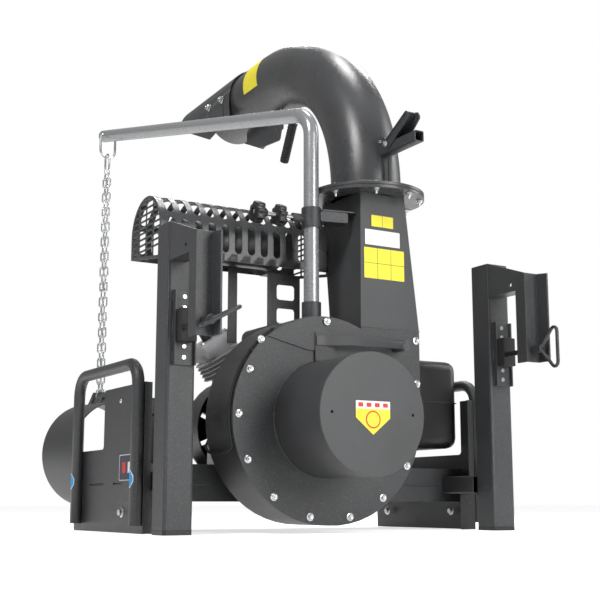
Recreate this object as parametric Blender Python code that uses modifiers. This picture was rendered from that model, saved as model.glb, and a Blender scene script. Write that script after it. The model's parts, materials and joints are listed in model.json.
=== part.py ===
"""Tailgate-mounted leaf vacuum with a petrol engine, in metres, +Z up.

X runs along the tailgate from post to post and -Y is the side of the inlet. While it is built,
y = 0 is the front face of the posts and z = 0 is the ground. The last step moves the whole
assembly so that the origin is under the middle of its box.
"""
import math

import bmesh
import bpy
from mathutils import Matrix, Vector

# General sizes
GAP = 0.0003            # clearance between pieces that touch
RUNNING = 0.0006        # clearance round a piece that turns or slides
SHEET = 0.003           # sheet metal of the fan and the ducts
OVERLAP = 0.0012        # how far welded shapes are run into each other

# Tailgate posts and hooks
POST_SPAN = 1.002       # centre to centre
POST_SIZE = 0.076
POST_WALL = 0.004
POST_TOP = 0.760
POST_STAND = 0.012      # the foot plug below the tube
PLUG_INSIDE = 0.030
HOOK_PLATE = 0.006
HOOK_REACH = 0.157      # from the post's face to the front of the web
TAILGATE_SLOT = 0.118   # room for the tailgate
SLOT_ROOF = 0.661
CHANNEL_FOOT = 0.457
CHANNEL_TOP = 0.706
CHANNEL_WIDTH = 0.048
CHANNEL_FLANGE = 0.042
CLAMP_HEIGHT = 0.491
CLAMP_ROD = 0.007
CLAMP_FROM_EDGE = 0.024 # the clamp screw's axis from the post's left face
PAD_WIDE = 0.042
PAD_HIGH = 0.080
PAD_DEPTH = 0.037
BRACKET_WIDTH = 0.058
BRACKET_LOW = 0.405
BRACKET_HIGH = 0.588
BRACKET_LIP = 0.015
BRACKET_SHEET = 0.005
TRIANGLE_WIDE = 0.150
TRIANGLE_DEEP = 0.062
TRIANGLE_ROD = 0.0048
HUB_RADIUS = 0.012
HUB_LENGTH = 0.034
CLAMP_TURN = {"left": 28.0, "right": 90.0}

# Base
PANEL_FACE = 0.525      # outer face of a side panel from the middle
PANEL_SHEET = 0.004
PANEL_FRONT = 0.160
PANEL_BACK = 0.664
PANEL_STEP_BACK = 0.612
FOOT_HIGH = 0.085
PANEL_HIGH = 0.219
TALL_HIGH = 0.379
TALL_BACK = 0.444
UPRIGHT_BACK = 0.215
PANEL_LIP = 0.019
BEAM_FACE = 0.220
BEAM_BACK_FACE = 0.609
BEAM_LOW = 0.080
BEAM_HIGH = 0.176
BEAM_FLANGE = 0.040
BEAM_LIP = 0.012
DECK_LOW = 0.1235
DECK_SHEET = 0.004
TAB_SLOT = 0.160
TAB_FROM_PANEL = 0.052
ARM_SIZE = 0.050
ARM_WALL = 0.003
ARM_FROM_MIDDLE = 0.476
HANDLE_RADIUS = 0.016
HANDLE_FRONT = 0.170
HANDLE_BACK = 0.604
HANDLE_FOOT = 0.020
HANDLE_TOP = 0.428
HANDLE_BEND = 0.055

# Fan
FAN_X = -0.090
FAN_Z = 0.289
FAN_DEPTH = 0.150
SCROLL_RADIUS = 0.270
SCROLL_GROWTH = 0.0345  # how far the scroll opens towards its outlet
SCROLL_RIM = 0.024
FAN_MOUTH = 0.541       # height of the seam under the chute
MOUTH_LEFT = 0.0227
DRUM_RADIUS = 0.1515
DRUM_LENGTH = 0.2175
INLET_RADIUS = 0.138
COVER_HOLE = 0.004
COVER_HOLE_OUT = 0.118
IMPELLER_RADIUS = 0.222
BLADE_COUNT = 6
BLADE_SHEET = 0.004
HUB_OF_FAN = 0.034
SHAFT_RADIUS = 0.0125

# Chute, swivel and elbow
CHUTE_TOP = 0.916
CHUTE_TOP_LEFT = 0.0252
CHUTE_TOP_WIDTH = 0.1456
CHUTE_TOP_DEPTH = 0.200
SWIVEL_X = 0.100
SWIVEL_Y = 0.085
FLANGE_RADIUS = 0.150
FLANGE_SHEET = 0.006
ELBOW_RADIUS = 0.099
ELBOW_RISE = 0.025
ELBOW_BEND = 0.481
ELBOW_ANGLE = 92.0
ELBOW_RUN = 0.336
TURN_TUBE = 0.025
TURN_TUBE_LENGTH = 0.180
TURN_TUBE_RISE = 0.0991  # of its axis above the elbow's foot
LEVER_LENGTH = 0.160
LEVER_WIDTH = 0.022
LEVER_ANGLE = 16.0
LOCK_PIN = 0.006
LOCK_PIN_OUT = 0.120    # from the swivel's centre
HOOD_FRONT = 0.745       # where the hood starts over the elbow
HOOD_TIP = 1.147
HOOD_FRONT_LOW = 0.080  # how far its sides reach below the outlet's axis, at the front
HOOD_DEEP = 0.892        # where they reach lowest
HOOD_DEEP_LOW = 0.108
HOOD_RISE = 1.040
HOOD_RISE_LOW = 0.040
HOOD_TIP_ANGLE = 20.0
HOOD_SHEET = 0.003
GRIP_RADIUS = 0.012
GRIP_LENGTH = 0.125
GRIP_LEAN = 0.064
GRIP_PLATE_FRONT = 0.600
GRIP_PLATE_BACK = 0.815
GRIP_PLATE_DROP = 0.080
GRIP_PLATE_REACH = 0.120
LOCK_STEP = 30           # degrees between the holes for the lock pin
SWIVEL_BACK = -70
SWIVEL_FORWARD = 12

# Hose boom
BOOM_Y = 0.070
BOOM_RADIUS = 0.021
BOOM_WALL = 0.003
BOOM_HEIGHT = 1.137
BOOM_BEND = 0.075
BOOM_LENGTH = 1.140
BOOM_HEADING = 100.0
BOOM_RISE = 11.0
SOCKET_HEIGHT = 0.047
SOCKET_WALL = 0.005
COLLAR_LOW = 0.812
COLLAR_HIGH = 0.868
KNOB_RADIUS = 0.030
KNOB_THICK = 0.024
KNOB_LOBES = 8
LOCK_KNOB_OUT = 0.168   # from the boom's axis
JAM_KNOB_OUT = 0.101
BOSS_OUT = 0.060
LOCK_ROD = 0.006
STAPLE_ROD = 0.004
STAPLE_DROP = 0.080
STAPLE_WIDE = 0.058
STAPLE_ROUND = 0.025
CHAIN_WIRE = 0.004
CHAIN_PITCH = 0.036
CHAIN_BEAD = 0.0065
CHAIN_SPREAD = 0.022
LONG_LINK = 0.070
RING_RADIUS = 0.170
RING_LENGTH = 0.140
RING_HEIGHT = 0.236     # centre of the hose ring
EAR_HIGH = 0.038
EAR_BASE = 0.070
EAR_TOP = 0.032
EAR_APART = 0.040
EAR_SHEET = 0.004
EAR_PIN = 0.005

# Engine
ENGINE_FRONT = 0.235
CASE_LEFT = -0.215
CASE_RIGHT = 0.080
CASE_BACK = 0.455
CASE_TOP = 0.395
RAIL_HIGH = 0.024
CYLINDER_LEAN = 35.0
CYLINDER_LENGTH = 0.085
CYLINDER_CORE = 0.050
FIN_RADIUS = 0.068
FIN_COUNT = 5
HEAD_LENGTH = 0.045
BLOWER_RADIUS = 0.150
BLOWER_DEPTH = 0.075
TANK_LEFT = -0.070
TANK_RIGHT = 0.215
TANK_FRONT = 0.300
TANK_BACK = 0.530
TANK_LOW = 0.470
TANK_HIGH = 0.590
CAP_RADIUS = 0.030
CAP_HIGH = 0.022
AIR_LEFT = 0.255
AIR_RIGHT = 0.505
AIR_FRONT = 0.200
AIR_BACK = 0.400
AIR_LOW = 0.236
AIR_HIGH = 0.497
BATTERY_LEFT = -0.512
BATTERY_RIGHT = -0.425
BATTERY_FRONT = 0.270
BATTERY_BACK = 0.420
BATTERY_HIGH = 0.350
GUARD_LEFT = -0.500
GUARD_RIGHT = 0.010
GUARD_FRONT = 0.145
GUARD_BACK = 0.345
GUARD_LOW = 0.692
GUARD_HIGH = 0.885
GUARD_SHEET = 0.0025
GUARD_SLOTS = 9
MUFFLER_RADIUS = 0.062
STAY_LEFT = -0.224
STAY_WIDE = 0.028
STAY_PANEL_WIDE = 0.107
STAY_PANEL_LEFT = -0.100

COLOURS = {
    "black_coat": ((0.045, 0.047, 0.050), 0.45, 0.30),
    "grey_coat": ((0.075, 0.078, 0.082), 0.42, 0.35),
    "galvanised": ((0.55, 0.56, 0.57), 0.35, 0.90),
    "steel": ((0.50, 0.50, 0.51), 0.30, 1.00),
    "cast_alloy": ((0.42, 0.43, 0.44), 0.45, 0.85),
    "black_plastic": ((0.020, 0.020, 0.021), 0.50, 0.00),
    "rubber": ((0.018, 0.018, 0.018), 0.80, 0.00),
}


def clear_scene():
    for old in list(bpy.data.objects):
        bpy.data.objects.remove(old, do_unlink=True)
    for old in list(bpy.data.collections):
        bpy.data.collections.remove(old)


def make_materials():
    made = {}
    for name, (colour, roughness, metallic) in COLOURS.items():
        material = bpy.data.materials.new(name)
        material.use_nodes = True
        shader = material.node_tree.nodes["Principled BSDF"]
        shader.inputs["Base Color"].default_value = (*colour, 1.0)
        shader.inputs["Roughness"].default_value = roughness
        shader.inputs["Metallic"].default_value = metallic
        material.diffuse_color = (*colour, 1.0)
        made[name] = material
    return made


clear_scene()
PARTS = bpy.data.collections.new("leaf_vacuum")
CUTTERS = bpy.data.collections.new("cutters")
bpy.context.scene.collection.children.link(PARTS)
bpy.context.scene.collection.children.link(CUTTERS)
MATERIALS = make_materials()


def adopt(piece, name, finish):
    """Names an object and puts it with the parts, or with the cutters when it has no finish."""
    piece.name = name
    piece.data.name = name
    for home in list(piece.users_collection):
        home.objects.unlink(piece)
    if finish is None:
        CUTTERS.objects.link(piece)
        piece.hide_render = True
        piece.display_type = "WIRE"
    else:
        PARTS.objects.link(piece)
        piece.data.materials.clear()
        material = MATERIALS[finish].copy()
        material.name = name + "_finish"
        piece.data.materials.append(material)
    return piece


def smooth(piece, angle=35.0):
    piece.data.shade_smooth()
    piece.data.set_sharp_from_angle(angle=math.radians(angle))
    return piece


def box(name, low, high, finish=None):
    low, high = Vector(low), Vector(high)
    bpy.ops.mesh.primitive_cube_add(size=1.0, location=(low + high) / 2)
    piece = bpy.context.active_object
    piece.scale = high - low
    bpy.ops.object.transform_apply(location=False, rotation=False, scale=True)
    return adopt(piece, name, finish)


def rod(name, start, end, radius, finish=None, sides=12):
    start, end = Vector(start), Vector(end)
    bpy.ops.mesh.primitive_cylinder_add(vertices=sides, radius=radius, depth=(end - start).length,
                                        location=(start + end) / 2)
    piece = bpy.context.active_object
    piece.rotation_euler = (end - start).to_track_quat("Z", "Y").to_euler()
    bpy.ops.object.transform_apply(location=False, rotation=True, scale=False)
    return smooth(adopt(piece, name, finish))


def to_mesh(piece, name, finish):
    """Turns a curve object into a mesh object with welded caps."""
    bpy.context.view_layer.update()
    seen = piece.evaluated_get(bpy.context.evaluated_depsgraph_get())
    mesh = bpy.data.meshes.new_from_object(seen)
    work = bmesh.new()
    work.from_mesh(mesh)
    bmesh.ops.remove_doubles(work, verts=work.verts, dist=0.00002)
    work.to_mesh(mesh)
    work.free()
    solid = bpy.data.objects.new(name, mesh)
    solid.matrix_world = piece.matrix_world.copy()
    bpy.data.objects.remove(piece, do_unlink=True)
    bpy.context.scene.collection.objects.link(solid)
    return adopt(solid, name, finish)


FACING = {
    "X": Matrix(((0, 0, 1), (1, 0, 0), (0, 1, 0))).to_4x4(),
    "Y": Matrix(((1, 0, 0), (0, 0, -1), (0, 1, 0))).to_4x4(),
    "Z": Matrix.Identity(4),
}


def plate(name, outlines, facing, low, high, finish=None):
    """A flat outline with holes, standing square to an axis from low to high along it.

    Its two flat directions are Y and Z when it faces X, X and Z when it faces Y, X and Y for Z.
    """
    curve = bpy.data.curves.new(name, "CURVE")
    curve.dimensions = "2D"
    curve.fill_mode = "BOTH"
    curve.extrude = (high - low) / 2
    for outline in outlines:
        spline = curve.splines.new("POLY")
        spline.points.add(len(outline) - 1)
        for point, (u, v) in zip(spline.points, outline):
            point.co = (u, v, 0.0, 1.0)
        spline.use_cyclic_u = True
    piece = bpy.data.objects.new(name, curve)
    bpy.context.scene.collection.objects.link(piece)
    middle = (low + high) / 2
    offset = {"X": (middle, 0, 0), "Y": (0, middle, 0), "Z": (0, 0, middle)}[facing]
    piece.matrix_world = Matrix.Translation(offset) @ FACING[facing]
    return smooth(to_mesh(piece, name, finish))


def tube(name, points, radius, finish=None, resolution=2, closed=False, radii=None):
    """A solid round bar along points; resolution 2 has eight sides."""
    curve = bpy.data.curves.new(name, "CURVE")
    curve.dimensions = "3D"
    curve.bevel_depth = radius
    curve.bevel_resolution = resolution
    curve.use_fill_caps = not closed
    spline = curve.splines.new("POLY")
    spline.points.add(len(points) - 1)
    for number, (point, place) in enumerate(zip(spline.points, points)):
        point.co = (*place, 1.0)
        point.radius = 1.0 if radii is None else radii[number]
    spline.use_cyclic_u = closed
    piece = bpy.data.objects.new(name, curve)
    bpy.context.scene.collection.objects.link(piece)
    return smooth(to_mesh(piece, name, finish), 50.0)


def pipe(name, points, radius, wall, finish=None, resolution=4):
    """A hollow round tube, open at both ends, whose outer radius is given."""
    curve = bpy.data.curves.new(name, "CURVE")
    curve.dimensions = "3D"
    curve.bevel_depth = radius
    curve.bevel_resolution = resolution
    curve.use_fill_caps = False
    spline = curve.splines.new("POLY")
    spline.points.add(len(points) - 1)
    for point, place in zip(spline.points, points):
        point.co = (*place, 1.0)
    piece = bpy.data.objects.new(name, curve)
    bpy.context.scene.collection.objects.link(piece)
    piece = smooth(to_mesh(piece, name, finish), 50.0)
    shell = piece.modifiers.new("wall", "SOLIDIFY")
    shell.thickness = wall
    shell.offset = -1.0
    return piece


def turned(name, profile, centre, axis, finish=None, steps=24):
    """A closed profile of (radius, height) turned about an axis through a point."""
    mesh = bpy.data.meshes.new(name)
    count = len(profile)
    closed = all(radius > 0.0 for radius, height in profile)
    edges = [(number, number + 1) for number in range(count - 1)]
    if closed:
        edges.append((count - 1, 0))
    mesh.from_pydata([(radius, 0.0, height) for radius, height in profile], edges, [])
    piece = bpy.data.objects.new(name, mesh)
    bpy.context.scene.collection.objects.link(piece)
    turn = piece.modifiers.new("turn", "SCREW")
    turn.steps = steps
    turn.render_steps = steps
    turn.use_merge_vertices = True
    turn.merge_threshold = 0.00005
    turn.use_smooth_shade = False
    piece.location = centre
    piece.rotation_euler = Vector(axis).to_track_quat("Z", "Y").to_euler()
    return adopt(piece, name, finish)


def ring(name, centre, axis, outer, inner, length, finish=None, steps=32):
    """A round sleeve that runs from a centre along an axis."""
    profile = [(outer, length), (outer, 0.0), (inner, 0.0), (inner, length)]
    return turned(name, profile, centre, axis, finish, steps)


def cut(piece, cutter):
    trim = piece.modifiers.new("cut_" + cutter.name, "BOOLEAN")
    trim.operation = "DIFFERENCE"
    trim.solver = "EXACT"
    trim.object = cutter
    return piece


def weld(piece, other):
    union = piece.modifiers.new("weld_" + other.name, "BOOLEAN")
    union.operation = "UNION"
    union.solver = "EXACT"
    union.object = other
    return piece


def bevel(piece, width, segments=2, angle=40.0):
    edge = piece.modifiers.new("edges", "BEVEL")
    edge.width = width
    edge.segments = segments
    edge.limit_method = "ANGLE"
    edge.angle_limit = math.radians(angle)
    return piece


def arc(centre_u, centre_v, radius, start, end, count):
    """Points on an arc, in degrees, both ends included."""
    angles = [math.radians(start + (end - start) * number / count) for number in range(count + 1)]
    return [(centre_u + radius * math.cos(angle), centre_v + radius * math.sin(angle))
            for angle in angles]


def circle(centre_u, centre_v, radius, count):
    return arc(centre_u, centre_v, radius, 0.0, 360.0, count)[:-1]


def rectangle(left, low, right, high, corner=0.0, count=2):
    if corner <= 0.0:
        return [(left, low), (right, low), (right, high), (left, high)]
    return (arc(left + corner, low + corner, corner, 180, 270, count)
            + arc(right - corner, low + corner, corner, 270, 360, count)
            + arc(right - corner, high - corner, corner, 0, 90, count)
            + arc(left + corner, high - corner, corner, 90, 180, count))


def bend(start, corner, end, radius, count):
    """Points of a round bend at a corner between two straight runs."""
    start, corner, end = Vector(start), Vector(corner), Vector(end)
    first, last = (start - corner).normalized(), (end - corner).normalized()
    half = first.angle(last) / 2
    leg = radius / math.tan(half)
    middle = corner + (first + last).normalized() * radius / math.sin(half)
    begin = corner + first * leg - middle
    finish = corner + last * leg - middle
    turn = math.pi - 2 * half
    points = []
    for number in range(count + 1):
        part = number / count
        points.append(middle + (begin * math.sin((1 - part) * turn) + finish * math.sin(part * turn))
                      / math.sin(turn))
    return points


def pivot(name, place, *pieces):
    """An empty on a joint's axis that carries the pieces that move with it."""
    bpy.context.view_layer.update()
    empty = bpy.data.objects.new(name, None)
    empty.location = place
    empty.empty_display_size = 0.03
    PARTS.objects.link(empty)
    for piece in pieces:
        piece.parent = empty
        piece.matrix_parent_inverse = Matrix.Translation(-Vector(place))
    return empty


# Tailgate frame: posts, hooks, pad brackets and clamp screws

def build_side(side):
    sign = -1.0 if side == "left" else 1.0
    middle = sign * POST_SPAN / 2
    edge = middle - POST_SIZE / 2
    inside = POST_SIZE / 2 - POST_WALL
    depth = POST_SIZE / 2
    plate("post_" + side,
          [rectangle(edge, 0.0, edge + POST_SIZE, POST_SIZE, 0.007),
           rectangle(middle - inside, depth - inside, middle + inside, depth + inside, 0.003)],
          "Z", POST_STAND, POST_TOP, "black_coat")

    plug = plate("post_plug_" + side, [rectangle(edge, 0.0, edge + POST_SIZE, POST_SIZE, 0.007)],
                 "Z", 0.0, POST_STAND - GAP, "black_plastic")
    core = inside - GAP
    stem = plate("plug_stem_" + side,
                 [rectangle(middle - core, depth - core, middle + core, depth + core, 0.003)],
                 "Z", POST_STAND - GAP - OVERLAP, POST_STAND + PLUG_INSIDE)
    weld(plug, stem)

    # The hook is one folded plate; the slot under its roof takes the tailgate's edge.
    far = edge + CHANNEL_WIDTH
    front = -HOOK_REACH
    web_back = front + 0.005
    hook = plate("hook_" + side,
                 [[(edge, -GAP), (edge, front), (far - 0.005, front), (far - 0.005, front - CHANNEL_FLANGE),
                   (far, front - CHANNEL_FLANGE), (far, web_back), (edge + HOOK_PLATE, web_back),
                   (edge + HOOK_PLATE, -GAP)]],
                 "Z", CHANNEL_FOOT, POST_TOP, "black_coat")
    roof = box("hook_roof_" + side, (edge + HOOK_PLATE - OVERLAP, web_back - OVERLAP, SLOT_ROOF - 0.004),
               (far - 0.0005, -GAP - 0.0005, SLOT_ROOF + HOOK_PLATE))
    weld(hook, roof)
    slot = box("hook_slot_" + side, (edge - 0.01, -TAILGATE_SLOT, CHANNEL_FOOT - 0.01),
               (far + 0.01, 0.02, SLOT_ROOF))
    cut(hook, slot)
    slope = (POST_TOP - CHANNEL_TOP) / HOOK_REACH
    lower = CHANNEL_TOP - 0.1 * (CHANNEL_FLANGE + 0.01)
    above = plate("hook_above_" + side,
                  [[(0.02, POST_TOP + 0.02 * slope), (front, CHANNEL_TOP),
                    (front - CHANNEL_FLANGE - 0.01, lower), (front - CHANNEL_FLANGE - 0.01, POST_TOP + 0.05),
                    (0.02, POST_TOP + 0.05)]], "X", edge - 0.02, far + 0.02)
    cut(hook, above)
    cut(hook, rod("hook_hole_" + side, (edge - 0.01, -0.097, 0.681), (edge + 0.02, -0.097, 0.681), 0.006))
    clamp_hole = rod("clamp_hole_" + side, (edge + CLAMP_FROM_EDGE, front - 0.01, CLAMP_HEIGHT),
                     (edge + CLAMP_FROM_EDGE, web_back + 0.01, CLAMP_HEIGHT), CLAMP_ROD + RUNNING, None, 16)
    cut(hook, clamp_hole)

    # Pad bracket: a channel on the post's front face that guides the clamp pad
    centre = middle + 0.004
    half = BRACKET_WIDTH / 2
    outer = -GAP - BRACKET_SHEET
    plate("pad_bracket_" + side,
          [[(centre - half, -GAP), (centre - half, -GAP - BRACKET_LIP), (centre - half + 0.004, -GAP - BRACKET_LIP),
            (centre - half + 0.004, outer), (centre + half - 0.004, outer),
            (centre + half - 0.004, -GAP - BRACKET_LIP), (centre + half, -GAP - BRACKET_LIP),
            (centre + half, -GAP)]],
          "Z", BRACKET_LOW, BRACKET_HIGH, "black_coat")

    # Clamp screw with its closed handle, and the pad that it pushes
    axis_x = edge + CLAMP_FROM_EDGE
    pad_left = centre - half + 0.005
    pad_front = outer - GAP - PAD_DEPTH
    pad = box("clamp_pad_" + side, (pad_left, pad_front, CLAMP_HEIGHT + 0.009 - PAD_HIGH / 2),
              (pad_left + PAD_WIDE, outer - GAP, CLAMP_HEIGHT + 0.009 + PAD_HIGH / 2), "rubber")
    bevel(pad, 0.002, 1)
    hub_start = front - 0.003
    hub_end = hub_start - HUB_LENGTH
    screw = rod("clamp_screw_" + side, (axis_x, pad_front - GAP, CLAMP_HEIGHT), (axis_x, hub_end + 0.01, CLAMP_HEIGHT),
                CLAMP_ROD, "steel", 16)
    hub = rod("clamp_hub_" + side, (axis_x, hub_start, CLAMP_HEIGHT), (axis_x, hub_end, CLAMP_HEIGHT),
              HUB_RADIUS, None, 16)
    weld(screw, hub)
    turn = math.radians(CLAMP_TURN[side])
    apex = hub_end + 0.004
    wide = TRIANGLE_WIDE / 2

    def corner(along, out):
        return (axis_x + along * math.cos(turn), apex - out, CLAMP_HEIGHT + along * math.sin(turn))

    near, left_end, right_end = corner(0.0, 0.0), corner(-wide, TRIANGLE_DEEP), corner(wide, TRIANGLE_DEEP)
    middle_side = corner(0.0, TRIANGLE_DEEP)
    loop = [corner(-0.006, 0.002)]
    loop += bend(near, left_end, middle_side, 0.012, 4)
    loop += bend(middle_side, right_end, near, 0.012, 4)
    loop.append(corner(0.006, 0.002))
    weld(screw, tube("clamp_loop_" + side, loop, TRIANGLE_ROD, None, 2, True))

    pivot("clamp_axis_" + side, (axis_x, hub_start, CLAMP_HEIGHT), screw)


build_side("left")
build_side("right")

# Base: beams, deck, arms to the posts, side panels and the lifting handle

inner_face = PANEL_FACE - PANEL_SHEET - GAP


def beam(name, face, inward):
    back = face + inward * BEAM_FLANGE
    skin = face + inward * 0.004
    lip = face + inward * BEAM_LIP
    outline = [(face, BEAM_LOW), (back, BEAM_LOW), (back, BEAM_LOW + 0.004), (skin, BEAM_LOW + 0.004),
               (skin, BEAM_HIGH - 0.004), (lip, BEAM_HIGH - 0.004), (lip, BEAM_HIGH), (face, BEAM_HIGH)]
    return plate(name, [outline], "X", -inner_face, inner_face, "black_coat")


front_beam = beam("front_beam", BEAM_FACE, 1.0)
rear_beam = beam("rear_beam", BEAM_BACK_FACE, -1.0)
tab_end = inner_face - TAB_FROM_PANEL
tab_start = tab_end - TAB_SLOT
for side, low, high in (("left", -tab_end, -tab_start), ("right", tab_start, tab_end)):
    cut(front_beam, box("tab_slot_" + side, (low - GAP, BEAM_FACE - 0.01, DECK_LOW - GAP),
                        (high + GAP, BEAM_FACE + 0.01, DECK_LOW + DECK_SHEET + GAP)))

deck_front = BEAM_FACE + 0.004 + GAP
tab_front = BEAM_FACE + OVERLAP + GAP
deck_back = BEAM_BACK_FACE - 0.004 - GAP
plate("deck_plate",
      [[(-inner_face, deck_front), (-tab_end, deck_front), (-tab_end, tab_front), (-tab_start, tab_front),
        (-tab_start, deck_front), (tab_start, deck_front), (tab_start, tab_front), (tab_end, tab_front),
        (tab_end, deck_front), (inner_face, deck_front), (inner_face, deck_back), (-inner_face, deck_back)]],
      "Z", DECK_LOW, DECK_LOW + DECK_SHEET, "black_coat")

beam_middle = (BEAM_LOW + BEAM_HIGH) / 2
for side, sign in (("left", -1.0), ("right", 1.0)):
    centre = sign * ARM_FROM_MIDDLE
    half = ARM_SIZE / 2
    arm = plate("post_arm_" + side,
                [rectangle(centre - half, beam_middle - half, centre + half, beam_middle + half, 0.004, 1),
                 rectangle(centre - half + ARM_WALL, beam_middle - half + ARM_WALL,
                           centre + half - ARM_WALL, beam_middle + half - ARM_WALL)],
                "Y", POST_SIZE + GAP, BEAM_FACE + OVERLAP)
    weld(front_beam, arm)

left_panel = plate(
    "side_panel_left",
    [[(PANEL_FRONT, 0.0), (PANEL_BACK, 0.0), (PANEL_BACK, FOOT_HIGH), (PANEL_STEP_BACK, FOOT_HIGH)]
     + [(PANEL_STEP_BACK, PANEL_HIGH)]
     + list(reversed(arc(TALL_BACK + 0.010, PANEL_HIGH + 0.010, 0.010, 180, 270, 3)))
     + [(TALL_BACK, TALL_HIGH), (PANEL_FRONT, TALL_HIGH)]],
    "X", -PANEL_FACE, -PANEL_FACE + PANEL_SHEET, "black_coat")
right_panel = plate(
    "side_panel_right",
    [[(PANEL_FRONT, 0.0), (PANEL_BACK, 0.0), (PANEL_BACK, FOOT_HIGH), (PANEL_STEP_BACK, FOOT_HIGH)]
     + [(PANEL_STEP_BACK, PANEL_HIGH)]
     + list(reversed(arc(UPRIGHT_BACK + 0.010, PANEL_HIGH + 0.010, 0.010, 180, 270, 3)))
     + [(UPRIGHT_BACK, TALL_HIGH), (PANEL_FRONT, TALL_HIGH)]],
    "X", PANEL_FACE - PANEL_SHEET, PANEL_FACE, "black_coat")
for panel, side, sign in ((left_panel, "left", -1.0), (right_panel, "right", 1.0)):
    near = sign * (PANEL_FACE - 0.0015)
    far = sign * (PANEL_FACE - PANEL_LIP)
    weld(panel, box("panel_lip_" + side, (min(near, far), PANEL_FRONT + 0.0005, 0.0005),
                    (max(near, far), PANEL_FRONT + PANEL_SHEET, TALL_HIGH - 0.0005)))
    for number, (low, high) in enumerate(((0.300, 0.367), (0.437, 0.541))):
        cut(panel, box("panel_slot_%s_%d" % (side, number),
                       (sign * PANEL_FACE - 0.02, low, DECK_LOW - 0.0005),
                       (sign * PANEL_FACE + 0.02, high, DECK_LOW + DECK_SHEET + 0.0005)))

handle_x = -PANEL_FACE - GAP - HANDLE_RADIUS
leg_front = (handle_x, HANDLE_FRONT, HANDLE_FOOT)
top_front = (handle_x, HANDLE_FRONT, HANDLE_TOP)
top_back = (handle_x, HANDLE_BACK, HANDLE_TOP)
leg_back = (handle_x, HANDLE_BACK, HANDLE_FOOT)
tube("lifting_handle",
     [leg_front] + bend(leg_front, top_front, top_back, HANDLE_BEND, 6)
     + bend(top_front, top_back, leg_back, HANDLE_BEND, 6) + [leg_back],
     HANDLE_RADIUS, "black_coat", 4)

# Fan: scroll housing, bolted front plate, inlet drum, cover disc and impeller


def scroll_outline(inset, top):
    """The scroll's outline seen from the front, from the chute's left side round to its right side."""
    def point(degrees):
        grown = SCROLL_GROWTH * max(0.0, (degrees - 270.0) / 90.0)
        out = SCROLL_RADIUS + grown - inset
        turn = math.radians(degrees)
        return (FAN_X + out * math.cos(turn), FAN_Z + out * math.sin(turn))

    left = MOUTH_LEFT + inset
    start = math.degrees(math.acos((left - FAN_X) / (SCROLL_RADIUS - inset)))
    points = [(left, top), point(start)]
    points += [point(angle) for angle in range(75, 361, 7) if angle > start + 2]
    points.append(point(360.0))
    points.append((FAN_X + SCROLL_RADIUS + SCROLL_GROWTH - inset, top))
    return points


shell_front = SHEET + GAP
shell_back = FAN_DEPTH + SHEET
shell = plate("volute_shell", [scroll_outline(0.0, FAN_MOUTH)], "Y", shell_front, shell_back, "black_coat")
cut(shell, plate("volute_hollow", [scroll_outline(SHEET, FAN_MOUTH + 0.02)], "Y",
                 shell_front + SHEET, FAN_DEPTH))
cut(shell, plate("volute_face", [scroll_outline(SCROLL_RIM, FAN_MOUTH - SCROLL_RIM)], "Y",
                 shell_front - 0.01, shell_front + SHEET + 0.01))
cut(shell, rod("shaft_hole", (FAN_X, FAN_DEPTH - 0.01, FAN_Z), (FAN_X, FAN_DEPTH + 0.02, FAN_Z),
               SHAFT_RADIUS + 0.004, None, 24))
plate("volute_front", [scroll_outline(0.0, FAN_MOUTH), circle(FAN_X, FAN_Z, INLET_RADIUS, 40)], "Y",
      0.0, SHEET, "grey_coat")

drum_front = -DRUM_LENGTH
drum = ring("inlet_drum", (FAN_X, -GAP, FAN_Z), (0, -1, 0), DRUM_RADIUS, DRUM_RADIUS - SHEET,
            DRUM_LENGTH - GAP, "grey_coat", 40)
smooth(drum)
disc_back = drum_front - GAP
plate("inlet_cover",
      [circle(FAN_X, FAN_Z, DRUM_RADIUS, 40), circle(FAN_X - COVER_HOLE_OUT, FAN_Z, COVER_HOLE, 8),
       circle(FAN_X + COVER_HOLE_OUT, FAN_Z, COVER_HOLE, 8)],
      "Y", disc_back - SHEET, disc_back, "grey_coat")

hub_front = 0.030
hub_back = 0.118
impeller = rod("impeller", (FAN_X, hub_front, FAN_Z), (FAN_X, hub_back, FAN_Z), HUB_OF_FAN, "steel", 24)
impeller_disc = rod("impeller_disc", (FAN_X, hub_back - 0.008, FAN_Z), (FAN_X, hub_back - 0.004, FAN_Z),
                    IMPELLER_RADIUS - 0.020, None, 32)
weld(impeller, impeller_disc)
for number in range(BLADE_COUNT // 2):
    bar = box("impeller_bar_%d" % number,
              (-IMPELLER_RADIUS, -0.036, -BLADE_SHEET / 2), (IMPELLER_RADIUS, 0.042, BLADE_SHEET / 2))
    bar.location = (FAN_X, hub_front + 0.042, FAN_Z)
    bar.rotation_euler = (0.0, math.radians(12.0 + 360.0 / BLADE_COUNT * number), 0.0)
    weld(impeller, bar)
cut(impeller, rod("impeller_bore", (FAN_X, hub_front - 0.01, FAN_Z), (FAN_X, hub_back + 0.01, FAN_Z),
                  SHAFT_RADIUS + GAP, None, 20))
shaft = rod("crankshaft", (FAN_X, hub_front - 0.002, FAN_Z), (FAN_X, CASE_BACK - 0.03, FAN_Z),
            SHAFT_RADIUS, "steel", 20)
pivot("crank_axis", (FAN_X, hub_back, FAN_Z), impeller, shaft)

fan_adapter = ring("fan_adapter", (FAN_X, shell_back + GAP, FAN_Z), (0, 1, 0), 0.090, 0.070,
                   ENGINE_FRONT + OVERLAP - shell_back - GAP, None, 32)
plate("volute_bracket",
      [rectangle(shell_back + GAP, BEAM_LOW + 0.005, BEAM_FACE - GAP, BEAM_HIGH - 0.006),
       rectangle(shell_back + GAP + 0.004, BEAM_LOW + 0.009, BEAM_FACE - GAP - 0.004, BEAM_HIGH - 0.010)],
      "X", FAN_X - 0.11, FAN_X + 0.11, "black_coat")

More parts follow.
